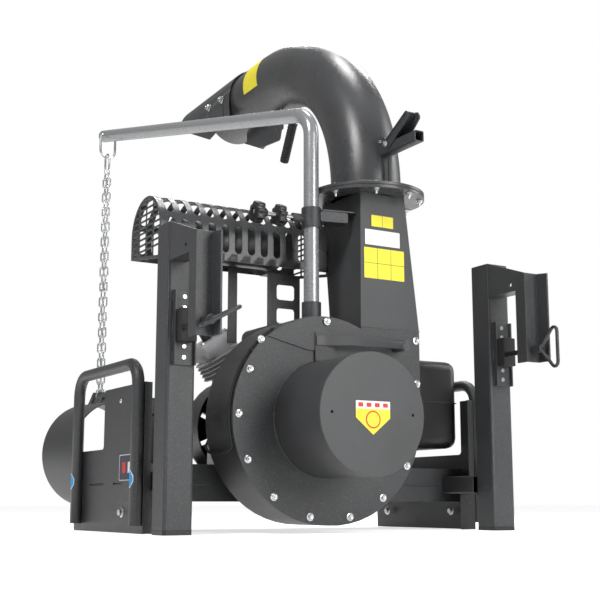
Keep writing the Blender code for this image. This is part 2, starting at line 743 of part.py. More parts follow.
# Ear plate, gusset and brace strap above the drum
ear_low = -GAP - SHEET
ear_arc = [(FAN_X + (SCROLL_RADIUS - 0.002) * math.cos(math.radians(angle)),
            FAN_Z + (SCROLL_RADIUS - 0.002) * math.sin(math.radians(angle))) for angle in range(88, 131, 7)]
ear = plate("ear_plate",
      [ear_arc + [(-0.150, 0.467), (-0.120, 0.466), (-0.106, 0.474), (-0.092, 0.502)]],
      "Y", ear_low, -GAP, "black_coat")
gusset_back = ear_low + OVERLAP
gusset_front = ear_low - 0.004
weld(ear, plate("drum_gusset",
                [arc(FAN_X, FAN_Z, DRUM_RADIUS + GAP, 77, 103, 4) + [(-0.124, 0.516), (-0.070, 0.516)]],
                "Y", gusset_front, gusset_back))
strap_back = gusset_front - GAP
strap_low, strap_high = 0.480, 0.504
bend_x, end_x, strap_out = -0.036, 0.128, -0.045
strap = plate("brace_strap",
              [[(-0.122, strap_back), (-0.122, strap_back - SHEET), (-0.090, strap_back - SHEET),
                (bend_x, strap_out - SHEET), (end_x, strap_out - SHEET), (end_x, strap_out),
                (bend_x + 0.001, strap_out), (-0.088, strap_back)]],
              "Z", strap_low, strap_high, "grey_coat")
boss_z = (strap_low + strap_high) / 2
weld(strap, rod("brace_boss", (0.134, -GAP, boss_z), (0.134, strap_out - 0.006, boss_z), 0.015, None, 20))


def loft(name, loops, finish=None, ring_shaped=True):
    """Skins equal loops of points in order; a ring-shaped loft joins the last loop to the first."""
    size = len(loops[0])
    vertices = [tuple(point) for loop in loops for point in loop]
    faces = []
    spans = len(loops) if ring_shaped else len(loops) - 1
    for row in range(spans):
        near, far = row * size, (row + 1) % len(loops) * size
        for number in range(size):
            after = (number + 1) % size
            faces.append((near + number, near + after, far + after, far + number))
    if not ring_shaped:
        faces.append(tuple(reversed(range(size))))
        faces.append(tuple(range((len(loops) - 1) * size, len(loops) * size)))
    mesh = bpy.data.meshes.new(name)
    mesh.from_pydata(vertices, [], faces)
    work = bmesh.new()
    work.from_mesh(mesh)
    bmesh.ops.recalc_face_normals(work, faces=work.faces)
    work.to_mesh(mesh)
    work.free()
    piece = bpy.data.objects.new(name, mesh)
    bpy.context.scene.collection.objects.link(piece)
    return adopt(piece, name, finish)


# Chute: a rectangular duct that narrows in width and deepens towards the swivel

chute_low = FAN_MOUTH + GAP
mouth_right = FAN_X + SCROLL_RADIUS + SCROLL_GROWTH
chute_right = CHUTE_TOP_LEFT + CHUTE_TOP_WIDTH


def duct_loop(left, right, back, height, inset):
    return [(left + inset, inset, height), (right - inset, inset, height),
            (right - inset, back - inset, height), (left + inset, back - inset, height)]


loft("chute",
     [duct_loop(MOUTH_LEFT, mouth_right, shell_back, chute_low, 0.0),
      duct_loop(CHUTE_TOP_LEFT, chute_right, CHUTE_TOP_DEPTH, CHUTE_TOP, 0.0),
      duct_loop(CHUTE_TOP_LEFT, chute_right, CHUTE_TOP_DEPTH, CHUTE_TOP, SHEET),
      duct_loop(MOUTH_LEFT, mouth_right, shell_back, chute_low, SHEET)], "grey_coat")

flange_low = CHUTE_TOP + GAP
flange_high = flange_low + FLANGE_SHEET
elbow_foot = flange_high + RUNNING
bore_half = ELBOW_RADIUS - SHEET
swivel = plate("swivel_flange",
               [circle(SWIVEL_X, SWIVEL_Y, FLANGE_RADIUS, 40),
                rectangle(CHUTE_TOP_LEFT + SHEET, SHEET, chute_right - SHEET, SWIVEL_Y + 0.085)],
               "Z", flange_low, flange_high, "grey_coat")
pin_x, pin_y = SWIVEL_X, SWIVEL_Y - LOCK_PIN_OUT
elbow_flange = plate("elbow_flange",
                     [circle(SWIVEL_X, SWIVEL_Y, FLANGE_RADIUS, 40),
                      circle(SWIVEL_X, SWIVEL_Y, ELBOW_RADIUS - 0.0015, 24)],
                     "Z", elbow_foot + 0.0005, elbow_foot + FLANGE_SHEET)
for number, degrees in enumerate(range(SWIVEL_BACK, SWIVEL_FORWARD + LOCK_STEP, LOCK_STEP)):
    turn = math.radians(degrees - 90)
    hole_x, hole_y = SWIVEL_X + LOCK_PIN_OUT * math.cos(turn), SWIVEL_Y + LOCK_PIN_OUT * math.sin(turn)
    cut(swivel, rod("pin_hole_%d" % number, (hole_x, hole_y, flange_low - 0.01), (hole_x, hole_y, flange_high + 0.004),
                    LOCK_PIN + RUNNING, None, 12))
cut(swivel, rod("pin_seat", (pin_x, pin_y, flange_low - 0.01), (pin_x, pin_y, elbow_foot + 0.02),
                LOCK_PIN + RUNNING, None, 12))

# Elbow: the centre line rises, bends and runs out backwards
bend_low = elbow_foot + ELBOW_RISE
bend_turn = math.radians(ELBOW_ANGLE)
centre_line = [(SWIVEL_Y, elbow_foot, 0.0)]
for number in range(15):
    angle = bend_turn * number / 14
    centre_line.append((SWIVEL_Y + ELBOW_BEND * (1.0 - math.cos(angle)),
                        bend_low + ELBOW_BEND * math.sin(angle), angle))
end_y = centre_line[-1][0] + ELBOW_RUN * math.sin(bend_turn)
end_z = centre_line[-1][1] + ELBOW_RUN * math.cos(bend_turn)
centre_line.append((end_y, end_z, bend_turn))


def elbow_loop(place, radius, sides=24):
    across, height, angle = place
    loop = []
    for number in range(sides):
        turn = 2.0 * math.pi * number / sides
        side_way = radius * math.cos(turn)
        out = radius * math.sin(turn)
        loop.append((SWIVEL_X + side_way, across + out * math.cos(angle), height - out * math.sin(angle)))
    return loop


outer_loops = [elbow_loop(place, ELBOW_RADIUS) for place in centre_line]
inner_loops = [elbow_loop(place, ELBOW_RADIUS - SHEET) for place in reversed(centre_line)]
elbow = loft("elbow", outer_loops + inner_loops, "grey_coat")
smooth(elbow)
weld(elbow, elbow_flange)
cut(elbow, bpy.data.objects["pin_seat"])

# Square turning tube with a lug, lever and lock pin
tube_half = TURN_TUBE / 2
turn_tube_z = elbow_foot + TURN_TUBE_RISE
tube_back = SWIVEL_Y - ELBOW_RADIUS - GAP
turn_tube = plate("turning_tube",
                  [rectangle(SWIVEL_X - tube_half, turn_tube_z - tube_half, SWIVEL_X + tube_half,
                             turn_tube_z + tube_half, 0.003, 1),
                   rectangle(SWIVEL_X - tube_half + 0.0025, turn_tube_z - tube_half + 0.0025,
                             SWIVEL_X + tube_half - 0.0025, turn_tube_z + tube_half - 0.0025)],
                  "Y", tube_back - TURN_TUBE_LENGTH, tube_back + 0.06, "grey_coat")
lever_y, lever_z = tube_back - 0.004, turn_tube_z + tube_half + 0.0255
lug = plate("lever_lug",
            [[(tube_back - 0.018, turn_tube_z + tube_half - OVERLAP),
              (tube_back + 0.030, turn_tube_z + tube_half - OVERLAP)]
             + arc(lever_y, lever_z, 0.008, 0, 180, 6)], "X", SWIVEL_X - 0.0025, SWIVEL_X + 0.0025)
weld(turn_tube, lug)
# The tube's inner end is cut to the elbow's own round.
saddle = loft("elbow_saddle", [elbow_loop(place, ELBOW_RADIUS + GAP) for place in
                               [(SWIVEL_Y, elbow_foot - 0.02, 0.0)] + centre_line[1:9]], None, False)
cut(turn_tube, saddle)
cut(turn_tube, rod("pin_guide", (pin_x, pin_y, turn_tube_z - 0.03), (pin_x, pin_y, turn_tube_z + 0.03),
                   LOCK_PIN + RUNNING, None, 12))
lever_pin_hole = rod("lever_pin_hole", (SWIVEL_X - 0.02, lever_y, lever_z), (SWIVEL_X + 0.02, lever_y, lever_z),
                     0.004 + GAP, None, 12)
cut(turn_tube, lever_pin_hole)

half = LEVER_WIDTH / 2
lean = math.radians(LEVER_ANGLE)


def on_lever(along, above):
    return (lever_y - along * math.cos(lean) + above * math.sin(lean),
            lever_z + along * math.sin(lean) + above * math.cos(lean))


lever = plate("lock_lever",
              [[on_lever(-0.009, -0.009), on_lever(LEVER_LENGTH, -0.009), on_lever(LEVER_LENGTH, 0.011),
                on_lever(-0.009, 0.011)]], "X", SWIVEL_X - half, SWIVEL_X + half, "grey_coat")
channel = plate("lever_channel",
                [[on_lever(-0.02, -0.02), on_lever(LEVER_LENGTH + 0.02, -0.02),
                  on_lever(LEVER_LENGTH + 0.02, 0.008), on_lever(-0.02, 0.008)]],
                "X", SWIVEL_X - half + 0.003, SWIVEL_X + half - 0.003)
cut(lever, channel)
cross_pin = rod("lever_cross_pin", (SWIVEL_X - half - 0.004, lever_y, lever_z),
                (SWIVEL_X + half + 0.004, lever_y, lever_z), 0.004, None, 12)
weld(lever, cross_pin)
lock_pin = rod("lock_pin", (pin_x, pin_y, elbow_foot + GAP), (pin_x, pin_y, lever_z - 0.008), LOCK_PIN,
               "steel", 12)
pivot("lever_axis", (SWIVEL_X, lever_y, lever_z), lever)

# Deflector hood: a half shell over the outlet with a cheek on each side
hood_y = end_y - 0.008
hood_z = end_z + 0.008 * math.tan(bend_turn - math.pi / 2)
hood_in = ELBOW_RADIUS + 0.004
hood_out = hood_in + HOOD_SHEET
hood_slope = math.tan(bend_turn - math.pi / 2)


def hood_row(along, radius, low):
    """One section: a half round with straight sides down to low, or an arc where low is above the axis."""
    middle = hood_z + (hood_y - along) * hood_slope
    if low < 0.0:
        half_round = [(radius, low)] + arc(0.0, 0.0, radius, 0.0, 180.0, 16) + [(-radius, low)]
    else:
        half_round = arc(0.0, 0.0, radius, HOOD_TIP_ANGLE, 180.0 - HOOD_TIP_ANGLE, 18)
    return [(SWIVEL_X + u, along, middle + v) for u, v in half_round]


hood_points = []
for along, low in ((HOOD_FRONT, -HOOD_FRONT_LOW), (HOOD_DEEP, -HOOD_DEEP_LOW), (HOOD_RISE, -HOOD_RISE_LOW),
                   (HOOD_TIP, 1.0)):
    hood_points.append(hood_row(along, hood_out, low) + list(reversed(hood_row(along, hood_in, low))))
hood = loft("discharge_hood", hood_points, "grey_coat", False)
smooth(hood)
for side, sign in (("left", -1.0), ("right", 1.0)):
    weld(hood, rod("hood_bush_" + side, (SWIVEL_X + sign * (ELBOW_RADIUS + GAP), hood_y, hood_z),
                   (SWIVEL_X + sign * (hood_out + 0.005), hood_y, hood_z), 0.010, None, 12))
pivot("hood_axis", (SWIVEL_X, hood_y, hood_z), hood)

# Grip under the outlet, hung from a plate that follows the straight run
def under(y):
    run_height = centre_line[-1][1] + (end_y - y) * math.tan(bend_turn - math.pi / 2)
    return run_height - ELBOW_RADIUS / math.sin(bend_turn)


plate_foot = GRIP_PLATE_FRONT - GRIP_PLATE_REACH
plate_top = under(GRIP_PLATE_FRONT)
plate_low = plate_top - GRIP_PLATE_DROP
turning_grip = plate("turning_grip",
                     [[(GRIP_PLATE_FRONT, plate_top - GAP), (plate_foot, plate_low + 0.052),
                       (plate_foot, plate_low + 0.022), (plate_foot + 0.085, plate_low + 0.016),
                       (GRIP_PLATE_FRONT + 0.105, plate_low),
                       (GRIP_PLATE_BACK, under(GRIP_PLATE_BACK) - 0.025),
                       (GRIP_PLATE_BACK, under(GRIP_PLATE_BACK) - GAP)]],
                     "X", SWIVEL_X - 0.003, SWIVEL_X + 0.003, "black_coat")
grip_start = Vector((SWIVEL_X, plate_foot + 0.013, plate_low + 0.030))
grip_end = grip_start + Vector((0.0, GRIP_LEAN, -GRIP_LENGTH))
grip = tube("grip_sleeve", [grip_start, grip_start.lerp(grip_end, 0.93), grip_end], GRIP_RADIUS, None, 3, False,
            [1.0, 1.0, 0.72])
weld(turning_grip, grip)

# Hose boom
heading = math.radians(BOOM_HEADING)
rise = math.radians(BOOM_RISE)
way = Vector((math.cos(heading) * math.cos(rise), math.sin(heading) * math.cos(rise), math.sin(rise)))
level = Vector((math.cos(heading), math.sin(heading), 0.0))
aside = Vector((math.sin(heading), -math.cos(heading), 0.0))
boom_foot = Vector((FAN_X, BOOM_Y, FAN_Z + SCROLL_RADIUS + 0.0007))
boom_corner = Vector((FAN_X, BOOM_Y, BOOM_HEIGHT))
boom_tip = boom_corner + way * BOOM_LENGTH
boom = pipe("boom_tube", [boom_foot] + bend(boom_foot, boom_corner, boom_tip, BOOM_BEND, 9) + [boom_tip],
            BOOM_RADIUS, BOOM_WALL, "galvanised", 6)
socket_bottom = FAN_Z + SCROLL_RADIUS - 0.010
socket = ring("boom_socket", (FAN_X, BOOM_Y, socket_bottom), (0, 0, 1), BOOM_RADIUS + GAP + SOCKET_WALL,
              BOOM_RADIUS + GAP, SOCKET_HEIGHT + 0.010, "black_coat", 24)
cut(socket, plate("socket_saddle", [scroll_outline(-GAP, FAN_MOUTH - 0.1)], "Y", shell_front - 0.03,
                  shell_back + 0.03))
collar = ring("boom_collar", (FAN_X, BOOM_Y, COLLAR_LOW), (0, 0, 1), BOOM_RADIUS + RUNNING + 0.004,
              BOOM_RADIUS + RUNNING, COLLAR_HIGH - COLLAR_LOW, "black_coat", 24)
arm_start = FAN_X + 0.018
lock_z = (COLLAR_LOW + COLLAR_HIGH) / 2 - 0.004
share = (lock_z - 0.012 - chute_low) / (CHUTE_TOP - chute_low)
arm_end = MOUTH_LEFT + (CHUTE_TOP_LEFT - MOUTH_LEFT) * share - GAP
arm = plate("collar_arm",
            [[(0.046, lock_z - 0.012), (0.050, lock_z - 0.012), (0.050, lock_z + 0.014), (0.094, lock_z + 0.014),
              (0.094, lock_z + 0.018), (0.046, lock_z + 0.018)]], "X", arm_start, arm_end)
weld(collar, arm)
boss = rod("collar_boss", (FAN_X - BOOM_RADIUS - 0.003, BOOM_Y, lock_z), (FAN_X - BOSS_OUT, BOOM_Y, lock_z),
           0.012, None, 16)
weld(collar, boss)
cut(collar, rod("boom_bore", (FAN_X, BOOM_Y, COLLAR_LOW - 0.01), (FAN_X, BOOM_Y, COLLAR_HIGH + 0.01),
                BOOM_RADIUS + RUNNING, None, 24))
cut(collar, rod("lock_bore", (FAN_X, BOOM_Y, lock_z), (FAN_X - BOSS_OUT - 0.01, BOOM_Y, lock_z),
                LOCK_ROD + RUNNING, None, 12))


def knob_outline(radius, lobes, depth):
    points = []
    for number in range(lobes * 4):
        turn = math.radians(360.0 * number / (lobes * 4))
        out = radius - depth * (0.5 - 0.5 * math.cos(lobes * turn))
        points.append((BOOM_Y + out * math.cos(turn), lock_z + out * math.sin(turn)))
    return points


lock_screw = rod("boom_lock_screw", (FAN_X - BOOM_RADIUS - 0.0008, BOOM_Y, lock_z),
                 (FAN_X - LOCK_KNOB_OUT - KNOB_THICK / 2 + 0.004, BOOM_Y, lock_z), LOCK_ROD, "steel", 12)
star = plate("star_knob", [knob_outline(KNOB_RADIUS, KNOB_LOBES, 0.004)], "X",
             FAN_X - LOCK_KNOB_OUT - KNOB_THICK / 2, FAN_X - LOCK_KNOB_OUT + KNOB_THICK / 2)
weld(lock_screw, star)
jam = plate("jam_knob",
            [knob_outline(KNOB_RADIUS, KNOB_LOBES, 0.004), circle(BOOM_Y, lock_z, LOCK_ROD + RUNNING, 12)],
            "X", FAN_X - JAM_KNOB_OUT - KNOB_THICK / 2, FAN_X - JAM_KNOB_OUT + KNOB_THICK / 2, "black_plastic")
pivot("boom_axis", boom_foot, boom)
pivot("lock_axis", (FAN_X - BOSS_OUT, BOOM_Y, lock_z), lock_screw)
pivot("jam_axis", (FAN_X - JAM_KNOB_OUT, BOOM_Y, lock_z), jam)

# Shackle through the boom's tip, chain, hose ring and its pin
hang = boom_tip - way * 0.030


def hung(along, across, drop):
    return hang + level * along + aside * across - Vector((0.0, 0.0, drop))


wide = STAPLE_WIDE / 2
loop = []
corners = [hung(0, -wide, 0), hung(0, wide, 0), hung(0, wide, STAPLE_DROP), hung(0, -wide, STAPLE_DROP)]
for number, point in enumerate(corners):
    before, after = corners[number - 1], corners[(number + 1) % 4]
    loop += bend(before, point, after, 0.0065 if number < 2 else STAPLE_ROUND, 3 if number < 2 else 6)
shackle = tube("shackle", loop, STAPLE_ROD, "galvanised", 1, True)
cut(boom, rod("shackle_hole", hung(0, -0.05, 0), hung(0, 0.05, 0), STAPLE_ROD + RUNNING, None, 10))
pivot("shackle_axis", hang, shackle)

link_top = STAPLE_DROP - STAPLE_ROD - CHAIN_WIRE - 0.0001
ring_top = RING_HEIGHT + RING_RADIUS
pin_z = ring_top + EAR_HIGH * 0.55
pin_drop = hang.z - pin_z
half_link = CHAIN_SPREAD / 2
link_corners = [hung(-half_link, 0, link_top), hung(half_link, 0, link_top),
                hung(half_link, 0, link_top + LONG_LINK), hung(-half_link, 0, link_top + LONG_LINK)]
loop = []
for number, point in enumerate(link_corners):
    before, after = link_corners[number - 1], link_corners[(number + 1) % 4]
    loop += bend(before, point, after, half_link * 0.9, 3)
chain = tube("chain", loop, CHAIN_WIRE, "galvanised", 1, True)
strand_top = link_top + LONG_LINK - 0.006
strand_low = pin_drop - EAR_PIN - RUNNING - 0.004
beads = 2 * int((strand_low - strand_top) / CHAIN_PITCH)
for side, offset in (("near", -half_link), ("far", half_link)):
    points, radii = [], []
    for number in range(beads + 1):
        part = number / beads
        points.append(hung(offset, 0, strand_top + (strand_low - strand_top) * part))
        radii.append(0.62 if number % 2 == 0 else 1.0)
    weld(chain, tube("strand_" + side, points, CHAIN_BEAD, None, 0, False, radii))
for side, offset in (("near", -half_link), ("far", half_link)):
    eye = [hung(offset, math.cos(math.radians(angle)) * 0.0098, pin_drop - math.sin(math.radians(angle)) * 0.0098)
           for angle in range(0, 360, 45)]
    weld(chain, tube("chain_eye_" + side, eye, CHAIN_WIRE * 0.9, None, 1, True))
pivot("chain_axis", hung(0, 0, STAPLE_DROP), chain)

ring_centre = hang - Vector((0.0, 0.0, hang.z - RING_HEIGHT))
hose_ring = ring("hose_ring", ring_centre - level * RING_LENGTH / 2, level, RING_RADIUS, RING_RADIUS - SHEET,
                 RING_LENGTH, "black_coat", 40)
smooth(hose_ring)
spin = math.radians(BOOM_HEADING - 90.0)
for side, offset in (("near", -1.0), ("far", 1.0)):
    inner = offset * (EAR_APART / 2 - EAR_SHEET)
    outer = offset * EAR_APART / 2
    ear = plate("ring_ear_" + side,
                [[(-EAR_BASE / 2, RING_RADIUS - 0.0046), (EAR_BASE / 2, RING_RADIUS - 0.0046),
                  (EAR_TOP / 2, RING_RADIUS + EAR_HIGH), (-EAR_TOP / 2, RING_RADIUS + EAR_HIGH)]],
                "Y", min(inner, outer), max(inner, outer))
    ear.matrix_world = (Matrix.Translation(ring_centre) @ Matrix.Rotation(spin, 4, "Z") @ ear.matrix_world)
    weld(hose_ring, ear)
pin_out = EAR_APART / 2 + 0.008
hose_pin = rod("hose_pin", hung(-pin_out, 0, pin_drop), hung(pin_out, 0, pin_drop),
               EAR_PIN, None, 12)
weld(hose_ring, hose_pin)
pivot("ring_axis", hung(0, 0, pin_drop), hose_ring)

# Engine: rails, crankcase, leaning cylinder, blower, tank, air box, battery, muffler and its guard

deck_top = DECK_LOW + DECK_SHEET
rail_top = deck_top + GAP + RAIL_HIGH
rail_left, rail_right = CASE_LEFT + 0.025, CASE_RIGHT - 0.025
foot_top = deck_top + GAP + 0.004
plate("engine_mount",
      [[(rail_left - 0.022, deck_top + GAP), (rail_left + 0.004, deck_top + GAP), (rail_left + 0.004, rail_top - 0.004),
        (rail_right - 0.004, rail_top - 0.004), (rail_right - 0.004, deck_top + GAP),
        (rail_right + 0.022, deck_top + GAP), (rail_right + 0.022, foot_top), (rail_right, foot_top),
        (rail_right, rail_top), (rail_left, rail_top), (rail_left, foot_top), (rail_left - 0.022, foot_top)]],
      "Y", ENGINE_FRONT + 0.030, CASE_BACK - 0.005, "black_coat")

case_low = rail_top + GAP
crankcase = box("crankcase", (CASE_LEFT, ENGINE_FRONT, case_low), (CASE_RIGHT, CASE_BACK, CASE_TOP), "cast_alloy")
bevel(crankcase, 0.016, 2)
weld(crankcase, fan_adapter)
cut(crankcase, rod("crank_bore", (FAN_X, ENGINE_FRONT - 0.01, FAN_Z), (FAN_X, CASE_BACK - 0.02, FAN_Z),
                   SHAFT_RADIUS + RUNNING, None, 20))
drain = rod("drain_boss", (CASE_LEFT + 0.020, ENGINE_FRONT + 0.002, case_low + 0.035),
            (CASE_LEFT + 0.020, ENGINE_FRONT - 0.012, case_low + 0.035), 0.010, None, 6)
weld(crankcase, drain)

cylinder_y = 0.3586
tilt = math.radians(CYLINDER_LEAN)
along = Vector((-math.sin(tilt), 0.0, math.cos(tilt)))
sideways = Vector((math.cos(tilt), 0.0, math.sin(tilt)))
crank = Vector((FAN_X, cylinder_y, FAN_Z))
# The cylinder starts where its core clears the crankcase's top corner.
foot = (CASE_TOP + GAP - FAN_Z + CYLINDER_CORE * math.sin(tilt)) / math.cos(tilt)
cylinder = rod("cylinder", crank + along * foot, crank + along * (foot + CYLINDER_LENGTH), CYLINDER_CORE,
               "cast_alloy", 20)
for number in range(FIN_COUNT):
    at = foot + 0.030 + (CYLINDER_LENGTH - 0.040) * number / (FIN_COUNT - 1)
    weld(cylinder, rod("fin_%d" % number, crank + along * at, crank + along * (at + 0.003), FIN_RADIUS, None, 16))
wedge = rod("cylinder_saddle", crank + along * (foot - 0.07), crank + along * (foot + 0.03), CYLINDER_CORE - 0.004,
            None, 20)
weld(cylinder, wedge)
trim = box("cylinder_trim", (CASE_LEFT - 0.2, ENGINE_FRONT - 0.1, 0.1),
           (CASE_RIGHT + 0.2, CASE_BACK + 0.1, CASE_TOP + GAP))
cut(cylinder, trim)
head_start = foot + CYLINDER_LENGTH - OVERLAP
head = box("cylinder_head", (-0.055, -0.055, 0.0), (0.055, 0.055, HEAD_LENGTH))
bevel(head, 0.006, 1)
head_place = Matrix.Translation(crank + along * head_start) @ Matrix.Rotation(-tilt, 4, "Y")
head.matrix_world = head_place @ Matrix.Translation((0.0, 0.0, HEAD_LENGTH / 2))
weld(cylinder, head)

blower = ring("blower_housing", (FAN_X, CASE_BACK + GAP, FAN_Z), (0, 1, 0), BLOWER_RADIUS, BLOWER_RADIUS - SHEET,
              BLOWER_DEPTH, "black_plastic", 32)
face = rod("blower_face", (FAN_X, CASE_BACK + BLOWER_DEPTH - 0.004, FAN_Z),
           (FAN_X, CASE_BACK + BLOWER_DEPTH + 0.012, FAN_Z), BLOWER_RADIUS - 0.0015, None, 32)
weld(blower, face)
for number in range(8):
    turn = math.radians(22.5 + 45.0 * number)
    tall = 0.034
    slit = box("blower_slit_%d" % number, (-0.007, -0.02, -tall / 2), (0.007, 0.03, tall / 2))
    slit.location = (FAN_X + 0.095 * math.sin(turn), CASE_BACK + BLOWER_DEPTH, FAN_Z + 0.095 * math.cos(turn))
    slit.rotation_euler = (0.0, turn, 0.0)
    cut(blower, slit)
recoil_y = CASE_BACK + BLOWER_DEPTH + 0.012
recoil_x, recoil_z = FAN_X + 0.055, FAN_Z + 0.030
recoil = rod("recoil_handle", (recoil_x, recoil_y + GAP, recoil_z), (recoil_x, recoil_y + 0.034, recoil_z), 0.009,
             "black_plastic", 12)
grip_bar = box("recoil_bar", (recoil_x - 0.032, recoil_y + 0.022, recoil_z - 0.009),
               (recoil_x + 0.032, recoil_y + 0.040, recoil_z + 0.009))
weld(recoil, bevel(grip_bar, 0.005, 2))
pivot("recoil_axis", (recoil_x, recoil_y, recoil_z), recoil)

stay_left, stay_right = TANK_LEFT + 0.020, CASE_RIGHT - 0.010
plate("tank_stay",
      [[(stay_left - 0.012, CASE_TOP + GAP), (stay_left + 0.003, CASE_TOP + GAP), (stay_left + 0.003, TANK_LOW - GAP - 0.003),
        (stay_right - 0.003, TANK_LOW - GAP - 0.003), (stay_right - 0.003, CASE_TOP + GAP),
        (stay_right, CASE_TOP + GAP), (stay_right, TANK_LOW - GAP), (stay_left, TANK_LOW - GAP),
        (stay_left, CASE_TOP + GAP + 0.003), (stay_left - 0.012, CASE_TOP + GAP + 0.003)]],
      "Y", TANK_FRONT + 0.045, CASE_BACK - 0.020, "black_coat")
tank = box("fuel_tank", (TANK_LEFT, TANK_FRONT, TANK_LOW), (TANK_RIGHT, TANK_BACK, TANK_HIGH), "black_plastic")
bevel(tank, 0.022, 3)
cap_x, cap_y = TANK_RIGHT - 0.085, (TANK_FRONT + TANK_BACK) / 2
cap = plate("fuel_cap",
            [[(cap_x + (CAP_RADIUS - 0.002 * (number % 2)) * math.cos(math.radians(11.25 * number)),
               cap_y + (CAP_RADIUS - 0.002 * (number % 2)) * math.sin(math.radians(11.25 * number)))
              for number in range(32)]], "Z", TANK_HIGH + GAP, TANK_HIGH + GAP + CAP_HIGH, "black_plastic")
pivot("cap_axis", (cap_x, cap_y, TANK_HIGH), cap)

air = box("air_cleaner", (AIR_LEFT, AIR_FRONT, AIR_LOW), (AIR_RIGHT, AIR_BACK, AIR_HIGH), "black_plastic")
bevel(air, 0.030, 4)
duct_y = (AIR_FRONT + AIR_BACK) / 2
weld(air, rod("intake_duct", (CASE_RIGHT + GAP, duct_y, 0.345), (AIR_LEFT + 0.02, duct_y, 0.345), 0.030, None, 20))
battery = box("battery_box", (BATTERY_LEFT, BATTERY_FRONT, deck_top + GAP),
              (BATTERY_RIGHT, BATTERY_BACK, BATTERY_HIGH), "black_plastic")
bevel(battery, 0.008, 2)

# Exhaust guard: a folded half round with slots and gridded ends
guard_middle = (GUARD_FRONT + GUARD_BACK) / 2
guard_half = (GUARD_BACK - GUARD_FRONT) / 2
guard_spring = GUARD_HIGH - guard_half
front_low = 0.745


def guard_profile(inset, front_bottom, back_bottom):
    top = [(guard_middle - u, v) for u, v in arc(0.0, guard_spring, guard_half - inset, 0, 180, 10)]
    return [(GUARD_FRONT + inset, front_bottom)] + top + [(GUARD_BACK - inset, back_bottom)]


inside = [(u, v) for u, v in guard_profile(GUARD_SHEET, front_low - 0.02, GUARD_LOW - 0.02)]
guard = plate("exhaust_guard", [guard_profile(0.0, front_low, GUARD_LOW)], "X", GUARD_LEFT, GUARD_RIGHT, "black_coat")
cut(guard, plate("guard_hollow", [inside], "X", GUARD_LEFT + GUARD_SHEET, GUARD_RIGHT - GUARD_SHEET))
slot_pitch = (GUARD_RIGHT - GUARD_LEFT - 0.040) / GUARD_SLOTS
for number in range(GUARD_SLOTS):
    start = GUARD_LEFT + 0.020 + slot_pitch * (number + 0.18)
    finish = GUARD_LEFT + 0.020 + slot_pitch * (number + 0.82)
    cut(guard, box("front_slot_%d" % number, (start, GUARD_FRONT - 0.02, front_low + 0.022),
                   (finish, GUARD_FRONT + 0.012, guard_spring + 0.012)))
    cut(guard, box("top_slot_%d" % number, (start, GUARD_FRONT + 0.018, guard_spring + 0.030),
                   (finish, GUARD_BACK - 0.018, GUARD_HIGH + 0.02)))
for end, place, rows_of_grid in (("left", GUARD_LEFT, 4), ("right", GUARD_RIGHT, 2)):
    for row in range(rows_of_grid):
        low = front_low + 0.008 + row * 0.030
        reach = 0.082 if row < 2 else (0.074 if row == 2 else 0.052)
        for column in range(3):
            near = guard_middle - reach + column * (2 * reach + 0.006) / 3
            cut(guard, box("%s_grid_%d_%d" % (end, row, column), (place - 0.01, near, low),
                           (place + 0.01, near + (2 * reach + 0.006) / 3 - 0.006, low + 0.023)))

muffler = rod("muffler", (GUARD_LEFT + 0.080, guard_middle, guard_spring),
              (GUARD_RIGHT - 0.110, guard_middle, guard_spring), MUFFLER_RADIUS, "steel", 24)
bevel(muffler, 0.010, 2)
face_at = crank + along * (head_start + HEAD_LENGTH + GAP)
knee = face_at + along * 0.085
above = Vector((knee.x + 0.010, guard_middle + 0.010, guard_spring - 0.020))
weld(muffler, tube("exhaust_pipe", [face_at] + bend(face_at, knee, above, 0.050, 5) + [above], 0.015, None, 3))

# Sheet stays between the engine and the guard, each with a tab under the guard's back wall
stay_back = cylinder_y - 0.055 - GAP
guard_inner = GUARD_BACK - GUARD_SHEET - GAP
stay = plate("guard_stay",
             [[(stay_back - SHEET, 0.517), (stay_back, 0.517), (stay_back, 0.7427), (guard_inner, 0.7427),
               (guard_inner, 0.7457), (stay_back - SHEET, 0.7457)]],
             "X", STAY_LEFT, STAY_LEFT + STAY_WIDE, "black_coat")
panel_back = TANK_FRONT - GAP
panel_right = STAY_PANEL_LEFT + STAY_PANEL_WIDE
window_panel = plate("guard_panel",
                     [[(panel_back - SHEET, 0.540), (panel_back, 0.540), (panel_back, 0.7247), (guard_inner, 0.7247),
                       (guard_inner, 0.7277), (panel_back - SHEET, 0.7277)]],
                     "X", STAY_PANEL_LEFT, panel_right, "black_coat")
for number, low in enumerate((0.583, 0.652)):
    cut(window_panel, plate("window_%d" % number,
                            [rectangle(STAY_PANEL_LEFT + 0.030, low, panel_right - 0.018, low + 0.044, 0.008, 2)],
                            "Y", panel_back - 0.02, panel_back + 0.01))

# Throttle lever and engine switch
lever_x = CASE_LEFT - GAP
throttle = plate("throttle_lever",
                 [arc(0.300, 0.330, 0.012, 90, 270, 6) + [(0.345, 0.325), (0.345, 0.335)]],
                 "X", lever_x - 0.003, lever_x, "steel")
weld(throttle, rod("throttle_knob", (lever_x - 0.0015, 0.345, 0.330), (lever_x - 0.020, 0.345, 0.330), 0.008, None, 12))
pivot("throttle_axis", (lever_x, 0.300, 0.330), throttle)
switch_x, switch_z = FAN_X - 0.050, FAN_Z + 0.020
switch = rod("engine_switch", (switch_x, recoil_y + GAP, switch_z), (switch_x, recoil_y + 0.010, switch_z), 0.014,
             "black_plastic", 20)
weld(switch, box("switch_wing", (switch_x - 0.003, recoil_y + 0.008, switch_z - 0.012),
                 (switch_x + 0.003, recoil_y + 0.020, switch_z + 0.012)))
pivot("switch_axis", (switch_x, recoil_y, switch_z), switch)

